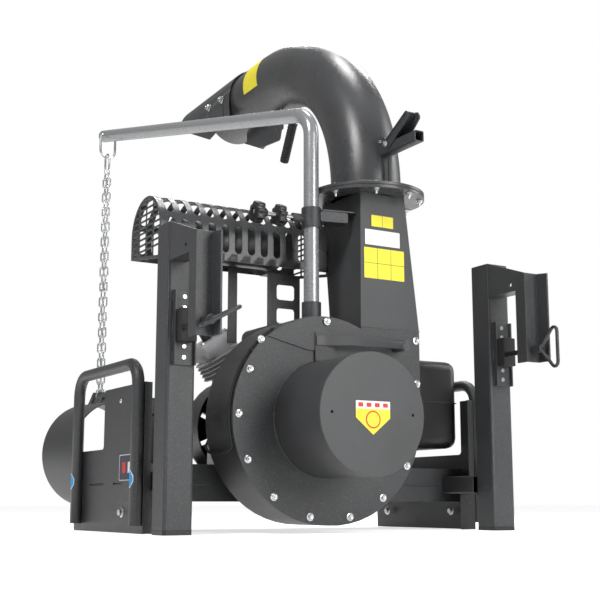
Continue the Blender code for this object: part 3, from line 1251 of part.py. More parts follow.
# Control cable: tied along the scroll beside its front edge, then back to the engine
cable_radius = 0.0035
cable_out = SCROLL_RADIUS + cable_radius + GAP
route = []
for degrees in range(124, 200, 6):
    turn = math.radians(degrees)
    route.append((FAN_X + cable_out * math.cos(turn), 0.012, FAN_Z + cable_out * math.sin(turn)))
last_x, last_z = route[-1][0], route[-1][2]
route += [(last_x - 0.003, 0.030, last_z - 0.012), (last_x - 0.004, 0.080, last_z - 0.016),
          (last_x - 0.002, 0.140, last_z - 0.010), (last_x + 0.012, 0.190, last_z + 0.006),
          (last_x + 0.045, 0.235, last_z + 0.035), (last_x + 0.080, 0.262, last_z + 0.060),
          (CASE_LEFT - 0.020, 0.270, last_z + 0.066), (CASE_LEFT - GAP, 0.270, last_z + 0.066)]
tube("control_cable", route, cable_radius, "rubber", 1)

# The whole assembly moves so that the origin is under the middle of its box.
bpy.context.view_layer.update()
seen = bpy.context.evaluated_depsgraph_get()
corners = [piece.matrix_world @ Vector(corner)
           for piece in PARTS.objects if piece.type == "MESH"
           for corner in piece.evaluated_get(seen).bound_box]
MOVE = Vector((-(min(point.x for point in corners) + max(point.x for point in corners)) / 2,
               -(min(point.y for point in corners) + max(point.y for point in corners)) / 2,
               -min(point.z for point in corners)))
for piece in list(PARTS.objects) + list(CUTTERS.objects):
    if piece.parent is None:
        piece.matrix_world = Matrix.Translation(MOVE) @ piece.matrix_world
bpy.context.view_layer.update()
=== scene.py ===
"""Dresses the leaf vacuum: finishes, fasteners, welds, chain, knobs, engine trim, plain panels and the stage."""

import json
import math

import bmesh
import bpy
from bpy.props import FloatProperty, FloatVectorProperty, IntProperty, PointerProperty
from mathutils import Matrix, Vector


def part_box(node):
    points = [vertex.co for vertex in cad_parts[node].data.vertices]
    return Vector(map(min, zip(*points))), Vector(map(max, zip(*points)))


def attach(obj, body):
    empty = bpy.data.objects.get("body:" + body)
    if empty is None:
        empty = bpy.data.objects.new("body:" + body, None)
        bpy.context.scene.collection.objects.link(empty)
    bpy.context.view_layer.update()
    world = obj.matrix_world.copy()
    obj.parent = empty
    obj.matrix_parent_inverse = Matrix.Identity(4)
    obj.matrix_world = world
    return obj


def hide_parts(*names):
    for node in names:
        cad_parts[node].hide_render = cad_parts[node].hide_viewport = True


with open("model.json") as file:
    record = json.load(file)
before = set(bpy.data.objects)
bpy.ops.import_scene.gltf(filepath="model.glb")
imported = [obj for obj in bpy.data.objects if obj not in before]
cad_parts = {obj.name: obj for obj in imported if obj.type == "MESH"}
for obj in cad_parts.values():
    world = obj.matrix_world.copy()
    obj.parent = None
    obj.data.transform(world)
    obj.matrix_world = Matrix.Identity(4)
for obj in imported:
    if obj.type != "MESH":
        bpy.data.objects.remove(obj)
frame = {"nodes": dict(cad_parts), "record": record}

bl_info = {
    "name": "Leaf Vacuum Dressing",
    "version": (1, 0, 0),
    "blender": (4, 5, 0),
    "location": "View3D > Sidebar > Leaf Vacuum",
    "description": "Gives the packed leaf vacuum its finishes, small parts and studio",
    "category": "Object",
}

# The machine's own zero lies between the posts, at their front faces, on the ground
POST_LEFT_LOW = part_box("post_left")[0]
POST_RIGHT_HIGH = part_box("post_right")[1]
ZERO = Vector(((POST_LEFT_LOW.x + POST_RIGHT_HIGH.x) / 2, POST_LEFT_LOW.y, 0.0))
FRONT = Vector((0, -1, 0))
BACK = Vector((0, 1, 0))
UP = Vector((0, 0, 1))
DOWN = Vector((0, 0, -1))
LEFT = Vector((-1, 0, 0))
RIGHT = Vector((1, 0, 0))


def at(x, y, z):
    """A place given from the machine's own zero."""
    return ZERO + Vector((x, y, z))


def put(place, x=None, y=None, z=None):
    """A place with the coordinates given put in, in the frame's own metres."""
    return Vector((place.x if x is None else x, place.y if y is None else y, place.z if z is None else z))


# Shared places and sizes, in metres from the machine's own zero
FAN_X, FAN_Z = -0.0900, 0.2890
DRUM_RADIUS = 0.1515
SWIVEL_X, SWIVEL_Y = 0.1000, 0.0850

# User settings


def colour_setting(name, description, default):
    """A finish's colour, for the user to change."""
    return FloatVectorProperty(name=name, description=description, subtype="COLOR", size=3, min=0, max=1,
                               default=default)


def length_setting(name, description, default, least, most):
    """A small part's length, for the user to change."""
    return FloatProperty(name=name, description=description, subtype="DISTANCE", unit="LENGTH", default=default,
                         min=least, max=most)


class LeafVacuumColours(bpy.types.PropertyGroup):
    """Colours of the machine's finishes."""

    speckled_coat: colour_setting("Speckled Coat", "Textured powder coat of frame, scroll and panels",
                                  (0.036, 0.037, 0.039))
    smooth_coat: colour_setting("Smooth Coat", "Satin coat of drum, chute and elbow", (0.050, 0.051, 0.053))
    zinc: colour_setting("Zinc", "Zinc coat of bolts, chain and boom", (0.60, 0.61, 0.62))
    cast_metal: colour_setting("Cast Metal", "Bare cast alloy of the engine", (0.42, 0.42, 0.43))
    moulding: colour_setting("Moulding", "Black moulded plastic", (0.012, 0.012, 0.013))
    panel_yellow: colour_setting("Panel Yellow", "Plain coloured panels", (0.86, 0.76, 0.045))
    panel_white: colour_setting("Panel White", "Plain pale panels", (0.82, 0.82, 0.82))
    panel_red: colour_setting("Panel Red", "Plain fields and ring on the panels", (0.62, 0.035, 0.02))
    panel_border: colour_setting("Panel Border", "Dark border round the panels", (0.035, 0.035, 0.06))
    marker_blue: colour_setting("Marker Blue", "Bands on the handle's legs", (0.02, 0.32, 0.72))


class LeafVacuumSizes(bpy.types.PropertyGroup):
    """Sizes of the machine's small parts."""

    bolt_flange: length_setting("Bolt Flange", "Radius of a front bolt's flange", 0.0105, 0.004, 0.02)
    bolt_head: length_setting("Bolt Head", "Corner radius of a bolt's hexagon", 0.0075, 0.003, 0.015)
    bolt_height: length_setting("Bolt Height", "Height of a bolt's head with its flange", 0.0075, 0.002, 0.015)
    chain_wire: length_setting("Chain Wire", "Radius of the chain's wire", 0.0026, 0.001, 0.005)
    weld_size: length_setting("Weld Size", "Radius of a weld's bead", 0.0022, 0.001, 0.005)
    cooling_ribs: IntProperty(
        name="Cooling Ribs", description="Ribs round the recoil starter's cover, with the gap at its foot counted",
        default=18, min=6, max=40)


class LeafVacuumStudio(bpy.types.PropertyGroup):
    """Camera and light."""

    focal_length: FloatProperty(
        name="Focal Length", description="Lens of the camera on a 36 mm sensor",
        subtype="DISTANCE_CAMERA", default=68.2, min=20, max=300)
    azimuth: FloatProperty(
        name="Azimuth", description="Direction of the camera round the machine",
        subtype="ANGLE", unit="ROTATION", default=math.radians(-30.42))
    tilt: FloatProperty(
        name="Tilt", description="How far the camera looks up",
        subtype="ANGLE", unit="ROTATION", default=math.radians(10.14))
    camera_place: FloatVectorProperty(
        name="Camera Place", description="Place of the camera from the machine's own zero",
        subtype="TRANSLATION", unit="LENGTH", size=3, default=(-1.641, -2.511, 0.075))
    room_light: FloatProperty(
        name="Room Light", description="Strength of the light from all round",
        default=0.34, min=0, max=3)
    key_light: FloatProperty(
        name="Key Light", description="Power of the key lamp, of which the others take a share",
        subtype="POWER", unit="POWER", default=92, min=0, max=1000)


# Mesh tools


ON_AXIS = 1e-6          # a radius below this is a point
JOIN_WITHIN = 0.00001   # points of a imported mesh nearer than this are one


def bridged(form, rows, finish=0):
    """Joins each row of points to the next with four-sided faces."""
    for low, high in zip(rows, rows[1:]):
        for i in range(len(low)):
            k = (i + 1) % len(low)
            form.faces.new((low[i], low[k], high[k], high[i])).material_index = finish


def capped(form, rows, finish=0):
    """Closes the two ends of a run of rows."""
    form.faces.new(rows[0][::-1]).material_index = finish
    form.faces.new(rows[-1]).material_index = finish


def ring(form, centre, across, up, radius, count):
    """Points round a circle in the plane of two axes."""
    turns = [math.tau * k / count for k in range(count)]
    return [form.verts.new(centre + radius * (math.cos(turn) * across + math.sin(turn) * up)) for turn in turns]


def turn_to(axis):
    """The turn that brings +Z onto an axis."""
    return UP.rotation_difference(Vector(axis).normalized()).to_matrix().to_4x4()


def turned(form, profile, place, axis, steps=24, finish=0, spin=0.0):
    """Adds a closed turned shape: profile is a list of (radius, height) from the low end to the high end."""
    matrix = Matrix.Translation(place) @ turn_to(axis) @ Matrix.Rotation(spin, 4, "Z")
    rows = []
    for radius, height in profile:
        if radius < ON_AXIS:
            rows.append([form.verts.new(matrix @ Vector((0, 0, height)))])
            continue
        rows.append([form.verts.new(matrix @ Vector((radius * math.cos(math.tau * i / steps),
                                                     radius * math.sin(math.tau * i / steps), height)))
                     for i in range(steps)])
    for low, high in zip(rows, rows[1:]):
        for i in range(steps):
            k = (i + 1) % steps
            if len(low) == 1 and len(high) == 1:
                continue
            if len(low) == 1:
                corners = (low[0], high[k], high[i])
            elif len(high) == 1:
                corners = (low[i], low[k], high[0])
            else:
                corners = (low[i], low[k], high[k], high[i])
            form.faces.new(corners).material_index = finish


def swept(form, points, radius, sides=8, closed=False, swell=None, flat=1.0):
    """Adds a round bar along points; swell gives a factor for the radius at each point."""
    count = len(points)
    rings = []
    side = None
    for i, point in enumerate(points):
        ahead = points[(i + 1) % count] if closed or i + 1 < count else point
        behind = points[i - 1] if closed or i > 0 else point
        along = (ahead - behind).normalized()
        if side is None:
            side = along.orthogonal().normalized()
        side = (side - along * side.dot(along)).normalized()
        other = along.cross(side) * flat
        rings.append(ring(form, point, side, other, radius * (swell[i] if swell else 1.0), sides))
    bridged(form, rings + rings[:1] if closed else rings)
    if not closed:
        capped(form, rings)


def slab(form, outline, place, across, up, thick, finish=0, rim=0.0):
    """Adds a flat plate with a chamfered front: outline is in (across, up), and its front faces across x up."""
    out = across.cross(up).normalized()
    middle = sum((Vector(point) for point in outline), Vector((0, 0))) / len(outline)
    rows = []
    for depth, inset in ((0.0, 0.0), (thick - rim, 0.0), (thick, rim)) if rim else ((0.0, 0.0), (thick, 0.0)):
        spots = [Vector(point) + (middle - Vector(point)).normalized() * inset for point in outline]
        rows.append([form.verts.new(place + across * spot.x + up * spot.y + out * depth) for spot in spots])
    bridged(form, rows, finish)
    capped(form, rows, finish)


def oblong(left, low, right, high):
    """Outline of a rectangle with square corners."""
    return [(left, low), (right, low), (right, high), (left, high)]


def rounded(left, low, right, high, corner, steps=4):
    """Outline of a rectangle with round corners."""
    points = []
    for x, y, start in ((right - corner, low + corner, -90), (right - corner, high - corner, 0),
                        (left + corner, high - corner, 90), (left + corner, low + corner, 180)):
        for i in range(steps + 1):
            angle = math.radians(start + 90 * i / steps)
            points.append((x + corner * math.cos(angle), y + corner * math.sin(angle)))
    return points


def disc(radius, count=24, start=0.0):
    """Outline of a circle."""
    return [(radius * math.cos(start + math.tau * i / count), radius * math.sin(start + math.tau * i / count))
            for i in range(count)]


def circle_path(centre, axis, radius, count=48, start=0.0, end=360.0):
    """Points round a circle, or on an arc of it where the ends aren't 360 degrees apart."""
    matrix = turn_to(axis)
    full = abs(end - start - 360.0) < 0.01
    steps = count if full else count - 1
    return [centre + matrix @ Vector((radius * math.cos(math.radians(start + (end - start) * i / steps)),
                                      radius * math.sin(math.radians(start + (end - start) * i / steps)), 0))
            for i in range(count)]


def packed_form(name):
    """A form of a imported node's mesh, with its points joined and one finish."""
    form = bmesh.new()
    form.from_mesh(frame["nodes"][name].data)
    bmesh.ops.remove_doubles(form, verts=form.verts[:], dist=JOIN_WITHIN)
    for face in form.faces:
        face.material_index = 0
    return form


def piece(name, form, body, finishes, angle=38.0):
    """Makes an object of a form, smooths it, and lets it ride on a body with the finishes given."""
    bmesh.ops.recalc_face_normals(form, faces=form.faces[:])
    mesh = bpy.data.meshes.new(name)
    form.to_mesh(mesh)
    form.free()
    made = bpy.data.objects.new(name, mesh)
    bpy.context.scene.collection.objects.link(made)
    for finish in finishes:
        mesh.materials.append(material(finish))
    mesh.shade_smooth()
    mesh.set_sharp_from_angle(angle=math.radians(angle))
    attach(made, body)
    return made


# Finishes


DUST_COLOUR = (0.30, 0.29, 0.27)
FLECK_TO_GRAIN = 0.62      # scale of a coat's flecks to that of its grain


def group_of(name, inputs, outputs):
    """Starts a shader group with named sockets: each input has a type and a value, each output a type."""
    tree = bpy.data.node_groups.new(name, "ShaderNodeTree")
    for label, (kind, value) in inputs.items():
        tree.interface.new_socket(name=label, in_out="INPUT", socket_type=kind).default_value = value
    for label, kind in outputs.items():
        tree.interface.new_socket(name=label, in_out="OUTPUT", socket_type=kind)
    return tree, tree.nodes.new("NodeGroupInput"), tree.nodes.new("NodeGroupOutput")


def node(tree, kind, links=None, **settings):
    """Adds a node: settings are its properties, links are its inputs by name or number."""
    made = tree.nodes.new(kind)
    for key, value in settings.items():
        setattr(made, key, value)
    for key, value in (links or {}).items():
        socket = made.inputs[key]
        if isinstance(value, bpy.types.NodeSocket):
            tree.links.new(value, socket)
        else:
            socket.default_value = value
    return made


def ramp(tree, source, low, high):
    """Stretches a value between two limits to 0 and 1."""
    made = node(tree, "ShaderNodeMapRange", {"Value": source, "From Min": low, "From Max": high}, clamp=True)
    return made.outputs["Result"]


def soft_edge_group():
    """Rounds sharp edges for the light, and masks them for a lighter colour: coat worn thin there, and a painted
    highlight along the edges.
    """
    tree, given, out = group_of(
        "Soft Edge", {"Radius": ("NodeSocketFloat", 0.0012), "Breakup": ("NodeSocketFloat", 260.0)},
        {"Normal": "NodeSocketVector", "Edge": "NodeSocketFloat"})
    soft = node(tree, "ShaderNodeBevel", {"Radius": given.outputs["Radius"]}, samples=6)
    plain = node(tree, "ShaderNodeNewGeometry")
    match = node(tree, "ShaderNodeVectorMath", {0: soft.outputs["Normal"], 1: plain.outputs["Normal"]},
                 operation="DOT_PRODUCT")
    edge = ramp(tree, match.outputs["Value"], 0.995, 0.80)
    place = node(tree, "ShaderNodeTexCoord")
    patch = node(tree, "ShaderNodeTexNoise", {"Vector": place.outputs["Object"], "Scale": given.outputs["Breakup"],
                                              "Detail": 3.0, "Roughness": 0.6})
    # Edge mask broken into patches, which lightens the colour: worn coat and a painted highlight along the edges.
    edge_wear_and_highlight = node(tree, "ShaderNodeMath", {0: edge, 1: ramp(tree, patch.outputs["Fac"], 0.36, 0.62)},
                operation="MULTIPLY")
    tree.links.new(soft.outputs["Normal"], out.inputs["Normal"])
    tree.links.new(edge_wear_and_highlight.outputs[0], out.inputs["Edge"])
    return tree


def grain_group():
    """Fine lumps of a powder coat or a moulding, with flecks that catch the light and a slow change of tone."""
    tree, given, out = group_of(
        "Fine Grain", {"Scale": ("NodeSocketFloat", 900.0), "Fleck Scale": ("NodeSocketFloat", 620.0),
                       "Fleck Share": ("NodeSocketFloat", 0.1), "Tone Scale": ("NodeSocketFloat", 6.0)},
        {"Height": "NodeSocketFloat", "Fleck": "NodeSocketFloat", "Tone": "NodeSocketFloat"})
    place = node(tree, "ShaderNodeTexCoord")
    lumps = node(tree, "ShaderNodeTexNoise", {"Vector": place.outputs["Object"], "Scale": given.outputs["Scale"],
                                              "Detail": 2.0, "Roughness": 0.55})
    cells = node(tree, "ShaderNodeTexVoronoi", {"Vector": place.outputs["Object"],
                                                "Scale": given.outputs["Fleck Scale"]})
    pick = node(tree, "ShaderNodeSeparateColor", {"Color": cells.outputs["Color"]})
    level = node(tree, "ShaderNodeMath", {0: 1.0, 1: given.outputs["Fleck Share"]}, operation="SUBTRACT")
    chosen = node(tree, "ShaderNodeMath", {0: pick.outputs["Red"], 1: level.outputs[0]}, operation="GREATER_THAN")
    centre = ramp(tree, cells.outputs["Distance"], 0.55, 0.15)
    fleck = node(tree, "ShaderNodeMath", {0: chosen.outputs[0], 1: centre}, operation="MULTIPLY")
    slow = node(tree, "ShaderNodeTexNoise", {"Vector": place.outputs["Object"], "Scale": given.outputs["Tone Scale"],
                                             "Detail": 4.0, "Roughness": 0.6})
    tree.links.new(lumps.outputs["Fac"], out.inputs["Height"])
    tree.links.new(fleck.outputs[0], out.inputs["Fleck"])
    tree.links.new(ramp(tree, slow.outputs["Fac"], 0.3, 0.7), out.inputs["Tone"])
    return tree


def streak_group():
    """Drawn lines of rolled or turned metal, run along one direction."""
    tree, given, out = group_of(
        "Drawn Streaks", {"Stretch": ("NodeSocketVector", (900.0, 900.0, 14.0)),
                          "Stain Scale": ("NodeSocketFloat", 18.0)},
        {"Height": "NodeSocketFloat", "Stain": "NodeSocketFloat"})
    place = node(tree, "ShaderNodeTexCoord")
    spread = node(tree, "ShaderNodeVectorMath", {0: place.outputs["Object"], 1: given.outputs["Stretch"]},
                  operation="MULTIPLY")
    lines = node(tree, "ShaderNodeTexNoise", {"Vector": spread.outputs[0], "Scale": 1.0, "Detail": 3.0})
    stain = node(tree, "ShaderNodeTexNoise", {"Vector": place.outputs["Object"], "Scale": given.outputs["Stain Scale"],
                                              "Detail": 5.0, "Roughness": 0.65})
    tree.links.new(lines.outputs["Fac"], out.inputs["Height"])
    tree.links.new(ramp(tree, stain.outputs["Fac"], 0.35, 0.68), out.inputs["Stain"])
    return tree


def dust_group():
    """A little dust that settles on faces that look up and in patches."""
    tree, given, out = group_of("Settled Dust", {"Amount": ("NodeSocketFloat", 0.2)}, {"Mask": "NodeSocketFloat"})
    faces = node(tree, "ShaderNodeNewGeometry")
    parts = node(tree, "ShaderNodeSeparateXYZ", {"Vector": faces.outputs["Normal"]})
    upward = ramp(tree, parts.outputs["Z"], 0.35, 1.0)
    place = node(tree, "ShaderNodeTexCoord")
    patch = node(tree, "ShaderNodeTexNoise", {"Vector": place.outputs["Object"], "Scale": 22.0, "Detail": 5.0,
                                              "Roughness": 0.7})
    patched = node(tree, "ShaderNodeMath", {0: upward, 1: ramp(tree, patch.outputs["Fac"], 0.42, 0.72)},
                   operation="MULTIPLY")
    mask = node(tree, "ShaderNodeMath", {0: patched.outputs[0], 1: given.outputs["Amount"]}, operation="MULTIPLY")
    tree.links.new(mask.outputs[0], out.inputs["Mask"])
    return tree


def placed_group(tree, name, builder, values):
    """Places a shared effect in a material, built once and kept under its name."""
    shared = bpy.data.node_groups.get(name) or builder()
    made = tree.nodes.new("ShaderNodeGroup")
    made.node_tree = shared
    made.label = name
    for key, value in values.items():
        made.inputs[key].default_value = value
    return made


def blended(tree, mask, low, high):
    """A colour between two, by a mask."""
    made = node(tree, "ShaderNodeMix", data_type="RGBA")
    for number, value in ((0, mask), (6, low), (7, high)):
        if isinstance(value, bpy.types.NodeSocket):
            tree.links.new(value, made.inputs[number])
        else:
            made.inputs[number].default_value = value if number == 0 else (*value[:3], 1.0)
    return made.outputs[2]


def started(name, roughness, metallic=0.0, specular=0.5):
    """A new material with its shader's own plain values."""
    made = bpy.data.materials.new(name)
    made.use_nodes = True
    shader = made.node_tree.nodes["Principled BSDF"]
    shader.inputs["Roughness"].default_value = roughness
    shader.inputs["Metallic"].default_value = metallic
    shader.inputs["Specular IOR Level"].default_value = specular
    return made, made.node_tree, shader


def lighter(colour, factor):
    """A colour times a factor, which darkens it where it is below 1."""
    return tuple(min(1.0, channel * factor) for channel in colour[:3])


def coat_finish(name, colour, roughness, scale, depth, share, edge=0.0014, bright=2.0, dust=0.05):
    """Powder coat or moulding: grain, flecks, tone, edges lightened for wear and a painted highlight, and a little
    dust.
    """
    made, tree, shader = started(name, roughness)
    grain = placed_group(tree, "Fine Grain", grain_group, {"Scale": scale, "Fleck Scale": scale * FLECK_TO_GRAIN,
                                                           "Fleck Share": share})
    soft = placed_group(tree, "Soft Edge", soft_edge_group, {"Radius": edge})
    settled = placed_group(tree, "Settled Dust", dust_group, {"Amount": dust})
    toned = blended(tree, grain.outputs["Tone"], lighter(colour, 0.86), lighter(colour, 1.16))
    flecked = blended(tree, grain.outputs["Fleck"], toned, lighter(colour, bright))
    # Edges lighter than the coat: worn coat and a painted highlight along them.
    edge_wear_and_highlight = blended(tree, soft.outputs["Edge"], flecked, lighter(colour, 3.4))
    tree.links.new(blended(tree, settled.outputs["Mask"], edge_wear_and_highlight, DUST_COLOUR), shader.inputs["Base Color"])
    rough = node(tree, "ShaderNodeMapRange", {"Value": grain.outputs["Tone"], "To Min": roughness - 0.05,
                                              "To Max": roughness + 0.07})
    tree.links.new(rough.outputs["Result"], shader.inputs["Roughness"])
    bump = node(tree, "ShaderNodeBump", {"Strength": 0.55, "Distance": depth, "Height": grain.outputs["Height"],
                                         "Normal": soft.outputs["Normal"]})
    tree.links.new(bump.outputs["Normal"], shader.inputs["Normal"])
    return made


def metal_finish(name, colour, roughness, stretch, depth, stain=0.25, edge=0.0008, metallic=1.0):
    """Bare or zinc-coated metal: drawn lines, stains, and soft edges lightened for wear and a painted highlight."""
    made, tree, shader = started(name, roughness, metallic)
    lines = placed_group(tree, "Drawn Streaks", streak_group, {"Stretch": stretch})
    soft = placed_group(tree, "Soft Edge", soft_edge_group, {"Radius": edge})
    toned = blended(tree, lines.outputs["Stain"], colour, lighter(colour, 1.0 - stain))
    # Edges lighter than the metal: wear and a painted highlight along them.
    tree.links.new(blended(tree, soft.outputs["Edge"], toned, lighter(colour, 1.25)), shader.inputs["Base Color"])
    rough = node(tree, "ShaderNodeMapRange", {"Value": lines.outputs["Stain"], "To Min": roughness - 0.06,
                                              "To Max": roughness + 0.10})
    tree.links.new(rough.outputs["Result"], shader.inputs["Roughness"])
    bump = node(tree, "ShaderNodeBump", {"Strength": 0.4, "Distance": depth, "Height": lines.outputs["Height"],
                                         "Normal": soft.outputs["Normal"]})
    tree.links.new(bump.outputs["Normal"], shader.inputs["Normal"])
    return made


def panel_finish(name, colour):
    """A plain coloured film: even colour and faint scuffs."""
    made, tree, shader = started(name, 0.55)
    grain = placed_group(tree, "Fine Grain", grain_group, {"Scale": 380.0, "Fleck Share": 0.02, "Tone Scale": 30.0})
    tree.links.new(blended(tree, grain.outputs["Tone"], colour, lighter(colour, 0.93)), shader.inputs["Base Color"])
    bump = node(tree, "ShaderNodeBump", {"Strength": 0.2, "Distance": 0.0002, "Height": grain.outputs["Height"]})
    tree.links.new(bump.outputs["Normal"], shader.inputs["Normal"])
    return made


# Each finish: its maker, the colour setting, a factor on that colour, and the maker's values in their order
FINISHES = {
    "Speckled Coat": (coat_finish, "speckled_coat", 1.0, (0.36, 640.0, 0.0012, 0.30), {"bright": 2.6, "dust": 0.02}),
    "Smooth Coat": (coat_finish, "smooth_coat", 1.0, (0.44, 1300.0, 0.0003, 0.05), {"bright": 2.4, "dust": 0.03}),
    "Gloss Coat": (coat_finish, "smooth_coat", 1.0, (0.27, 1100.0, 0.0004, 0.07),
                   {"edge": 0.0005, "bright": 2.6, "dust": 0.02}),
    "Moulding": (coat_finish, "moulding", 1.0, (0.34, 1500.0, 0.0003, 0.02), {"bright": 2.0, "dust": 0.06}),
    "Rubber": (coat_finish, "moulding", 0.9, (0.72, 2200.0, 0.0003, 0.01), {"bright": 1.6}),
    "Dark Steel": (coat_finish, "speckled_coat", 0.7, (0.38, 1600.0, 0.0003, 0.04), {"bright": 3.0}),
    "Cast Alloy": (coat_finish, "cast_metal", 1.0, (0.50, 420.0, 0.0012, 0.12), {"bright": 1.4, "dust": 0.15}),
    "Weld Bead": (coat_finish, "speckled_coat", 1.5, (0.40, 500.0, 0.0010, 0.15), {"bright": 4.0}),
    "Zinc Steel": (metal_finish, "zinc", 1.0, (0.30, (500.0, 500.0, 60.0), 0.0002), {}),
    "Zinc Tube": (metal_finish, "zinc", 0.62, (0.26, (60.0, 60.0, 60.0), 0.000002, 0.03),
                  {"edge": 0.0002, "metallic": 0.55}),
    "Panel Yellow": (panel_finish, "panel_yellow", 1.0, (), {}),
    "Panel White": (panel_finish, "panel_white", 1.0, (), {}),
    "Panel Border": (panel_finish, "panel_border", 1.0, (), {}),
    "Marker Blue": (panel_finish, "marker_blue", 1.0, (), {}),
    "Marker Red": (panel_finish, "panel_red", 1.0, (), {}),
}


def material(name):
    """A finish by its name, made the first time that it is asked for."""
    known = bpy.data.materials.get(name)
    if known:
        return known
    maker, setting, factor, values, named = FINISHES[name]
    colour = getattr(bpy.context.scene.leaf_vacuum_colours, setting)
    return maker(name, lighter(colour, factor), *values, **named)


# Fasteners and welds


def flange_bolt(form, place, axis, sizes, scale=1.0, spin=0.0, shank=0.0):
    """A hexagon head with a round flange and a shallow dimple, and a thread's end where shank is given."""
    flange, corner, height = sizes.bolt_flange * scale, sizes.bolt_head * scale, sizes.bolt_height * scale
    rim = height * 0.22
    turned(form, [(0, 0), (flange, 0), (flange, rim * 0.7), (corner * 0.96, rim * 1.5), (0, rim * 1.5)],
           place, axis, 20)
    turned(form, [(0, rim), (corner, rim), (corner, height * 0.88), (corner * 0.84, height), (corner * 0.52, height),
                  (corner * 0.40, height * 0.93), (0, height * 0.93)], place, axis, 6, 0, spin)
    if shank:
        turned(form, [(0, height), (corner * 0.46, height), (corner * 0.46, height + shank * 0.85),
                      (corner * 0.34, height + shank), (0, height + shank)], place, axis, 12)


def washered_bolt(form, place, axis, sizes, scale=1.0, spin=0.0):
    """A hexagon bolt on a washer, as the brackets have."""
    washer, corner, high = sizes.bolt_flange * scale, sizes.bolt_head * scale, sizes.bolt_height * 0.85 * scale
    turned(form, [(0, 0), (washer * 1.05, 0), (washer * 1.05, 0.0013 * scale), (washer * 0.98, 0.0017 * scale),
                  (0, 0.0017 * scale)], place, axis, 20)
    turned(form, [(0, 0), (corner, 0), (corner, high * 0.84), (corner * 0.86, high), (0, high)],
           place + axis * 0.0016 * scale, axis, 6, 0, spin)


def domed_bolt(form, place, axis, radius=0.0065, height=0.0035):
    """A low round head on a short straight rim."""
    curve = [(radius * math.cos(math.radians(a)), height * (0.15 + 0.85 * math.sin(math.radians(a))))
             for a in (20, 40, 60, 78)]
    turned(form, [(0, 0), (radius, 0), (radius, height * 0.15), *curve, (0, height)], place, axis, 20)


def bead(form, points, size, closed=False):
    """A weld: a low bar whose ripples follow one another along the seam."""
    dense = []
    ends = points + points[:1] if closed else points
    for start, end in zip(ends, ends[1:]):
        count = max(1, round((end - start).length / RIPPLE))
        dense += [start.lerp(end, i / count) for i in range(count)]
    if not closed:
        dense.append(ends[-1])
    elif len(dense) % 2:
        dense.pop()
    swept(form, dense, size, 6, closed, [1.0 if i % 2 else 0.74 for i in range(len(dense))])


RIPPLE = 0.0035                 # length of a weld's ripple
FRONT_BOLTS = ((-0.281, 0.485), (-0.312, 0.407), (-0.342, 0.295), (-0.316, 0.183), (-0.242, 0.091), (-0.137, 0.041),
               (-0.017, 0.040), (0.087, 0.089), (0.166, 0.174), (0.204, 0.396), (0.2035, 0.515))
BRACKET_BOLTS = (0.573, 0.546, 0.451, 0.424)
FLANGE_ANGLES = (-157, -113, -72, -37.6, 6, 50, 94, 140)
FLANGE_BOLT_CIRCLE = 0.1500
BACK_BOLT_CIRCLE = 0.108
HOOD_BOLTS = ((0.7942, 1.4222), (0.8933, 1.4244))
HOOD_SLOT = (0.785, 1.372)


